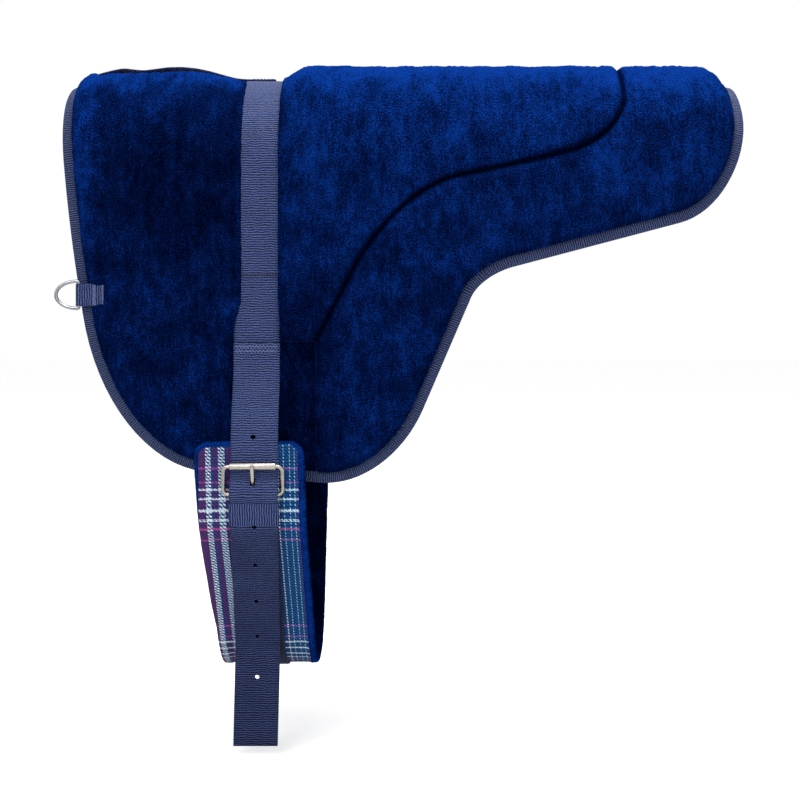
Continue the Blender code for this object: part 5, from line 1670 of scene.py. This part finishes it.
class BuildStage(bpy.types.Operator):
    """Adds the pale floor, the plain soft lamps and the camera at the photograph's view"""

    bl_idname = "pad.build_stage"
    bl_label = "Stage"

    def execute(self, context):
        scene = context.scene
        material, tree, shader = new_material(
            "pale_floor", Roughness=0.9, Base_Color=(0.9, 0.9, 0.9, 1), Emission_Color=(1, 1, 1, 1)
        )
        seen = add_node(tree, "ShaderNodeLightPath").outputs["Is Camera Ray"]
        tree.links.new(maths(tree, "MULTIPLY", seen, 0.55), shader.inputs["Emission Strength"])
        level = float(CAD_BOX[0][2]) - 0.012
        corners = [(x, y, level) for x, y in ((-6, -4), (6, -4), (6, 9), (-6, 9))]
        floor = flat_sheet("floor", corners, material)
        world = bpy.data.worlds.new("studio")
        scene.world = world
        world.use_nodes = True
        tree = world.node_tree
        rays = add_node(tree, "ShaderNodeLightPath").outputs
        seen = maths(tree, "MAXIMUM", rays["Is Camera Ray"], rays["Is Glossy Ray"])
        seen = maths(tree, "MAXIMUM", seen, rays["Is Transmission Ray"])
        strength = add_node(tree, "ShaderNodeMapRange", {"Value": seen, "To Min": 0.42, "To Max": 1.0})
        sky = tree.nodes["Background"].inputs
        sky["Color"].default_value = (1, 1, 1, 1)
        tree.links.new(strength.outputs[0], sky["Strength"])
        for name, power, size, place, aim in (
            ("key", 38, 1.6, (-1.0, -2.4, 1.3), (0.1, 0, -0.3)),
            ("top", 44, 1.2, (0.4, 0.1, 1.7), (0.15, 0, -0.1)),
            ("fill", 9, 1.6, (2.1, -1.6, 0.2), (0.1, 0, -0.3)),
        ):
            lamp = bpy.data.lights.new(name, "AREA")
            lamp.energy, lamp.size = power, size
            aimed(linked(name, lamp), place, aim)
        # Dark cards beside the camera, which only the metal's shine shows
        dark = new_material("black_card", Roughness=1.0, Base_Color=(0.01, 0.01, 0.01, 1))[0]
        cards = []
        for place, turn, (wide, tall) in (
            ((-0.75, -1.5, -0.3), (math.pi / 2, 0, -0.5), (0.5, 2.0)),
            ((1.15, -1.5, -0.3), (math.pi / 2, 0, 0.6), (0.5, 2.0)),
            ((0.1, -1.3, -0.73), (0.2, 0, 0), (1.6, 0.5)),
        ):
            corners = [(x * wide / 2, y * tall / 2, 0) for x, y in ((-1, -1), (1, -1), (1, 1), (-1, 1))]
            card = flat_sheet("card", corners, dark)
            card.location, card.rotation_euler = place, turn
            card.visible_camera = card.visible_diffuse = card.visible_shadow = card.visible_transmission = False
            cards.append(card)
        data = bpy.data.cameras.new("camera")
        data.sensor_width, data.lens = 36, 62.1
        scene.camera = linked("camera", data)
        aimed(scene.camera, (0.1555, -1.6250, -0.2278), (0.1555, 0, -0.3557))
        scene.view_settings.view_transform = "Standard"
        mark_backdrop(floor, *cards)
        return {"FINISHED"}


class PadPanel(bpy.types.Panel):
    """Lists the sizes, the colours and the pieces"""

    bl_idname = "VIEW3D_PT_bareback_pad"
    bl_label = "Bareback pad"
    bl_space_type = "VIEW_3D"
    bl_region_type = "UI"
    bl_category = "Bareback pad"

    def draw(self, context):
        for group in (context.scene.pad_sizes, context.scene.pad_colours):
            column = self.layout.column(align=True)
            for name in group.__annotations__:
                column.prop(group, name)
        column = self.layout.column(align=True)
        for operator in OPERATORS:
            column.operator(operator.bl_idname)


OPERATORS = (
    BuildLining, BuildFoams, BuildBinding, BuildFleece, BuildSurcingle, BuildBillets, BuildGirth, BuildGirthWeb,
    BuildHandle, BuildRings, BuildBuckles, BuildStitching, BuildStage,
)
CLASSES = (PadSizes, PadColours, *OPERATORS, PadPanel)


def register():
    for cls in CLASSES:
        bpy.utils.register_class(cls)
    bpy.types.Scene.pad_sizes = bpy.props.PointerProperty(type=PadSizes)
    bpy.types.Scene.pad_colours = bpy.props.PointerProperty(type=PadColours)


def unregister():
    del bpy.types.Scene.pad_sizes
    del bpy.types.Scene.pad_colours
    for cls in reversed(CLASSES):
        bpy.utils.unregister_class(cls)


def main():
    register()
    for operator in OPERATORS:
        group, name = operator.bl_idname.split(".")
        getattr(getattr(bpy.ops, group), name)()
    boxes = {"cad": CAD_BOX, "visual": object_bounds()}
    plain = {name: [[float(v) for v in corner] for corner in box] for name, box in boxes.items()}


if __name__ == "__main__":
    main()
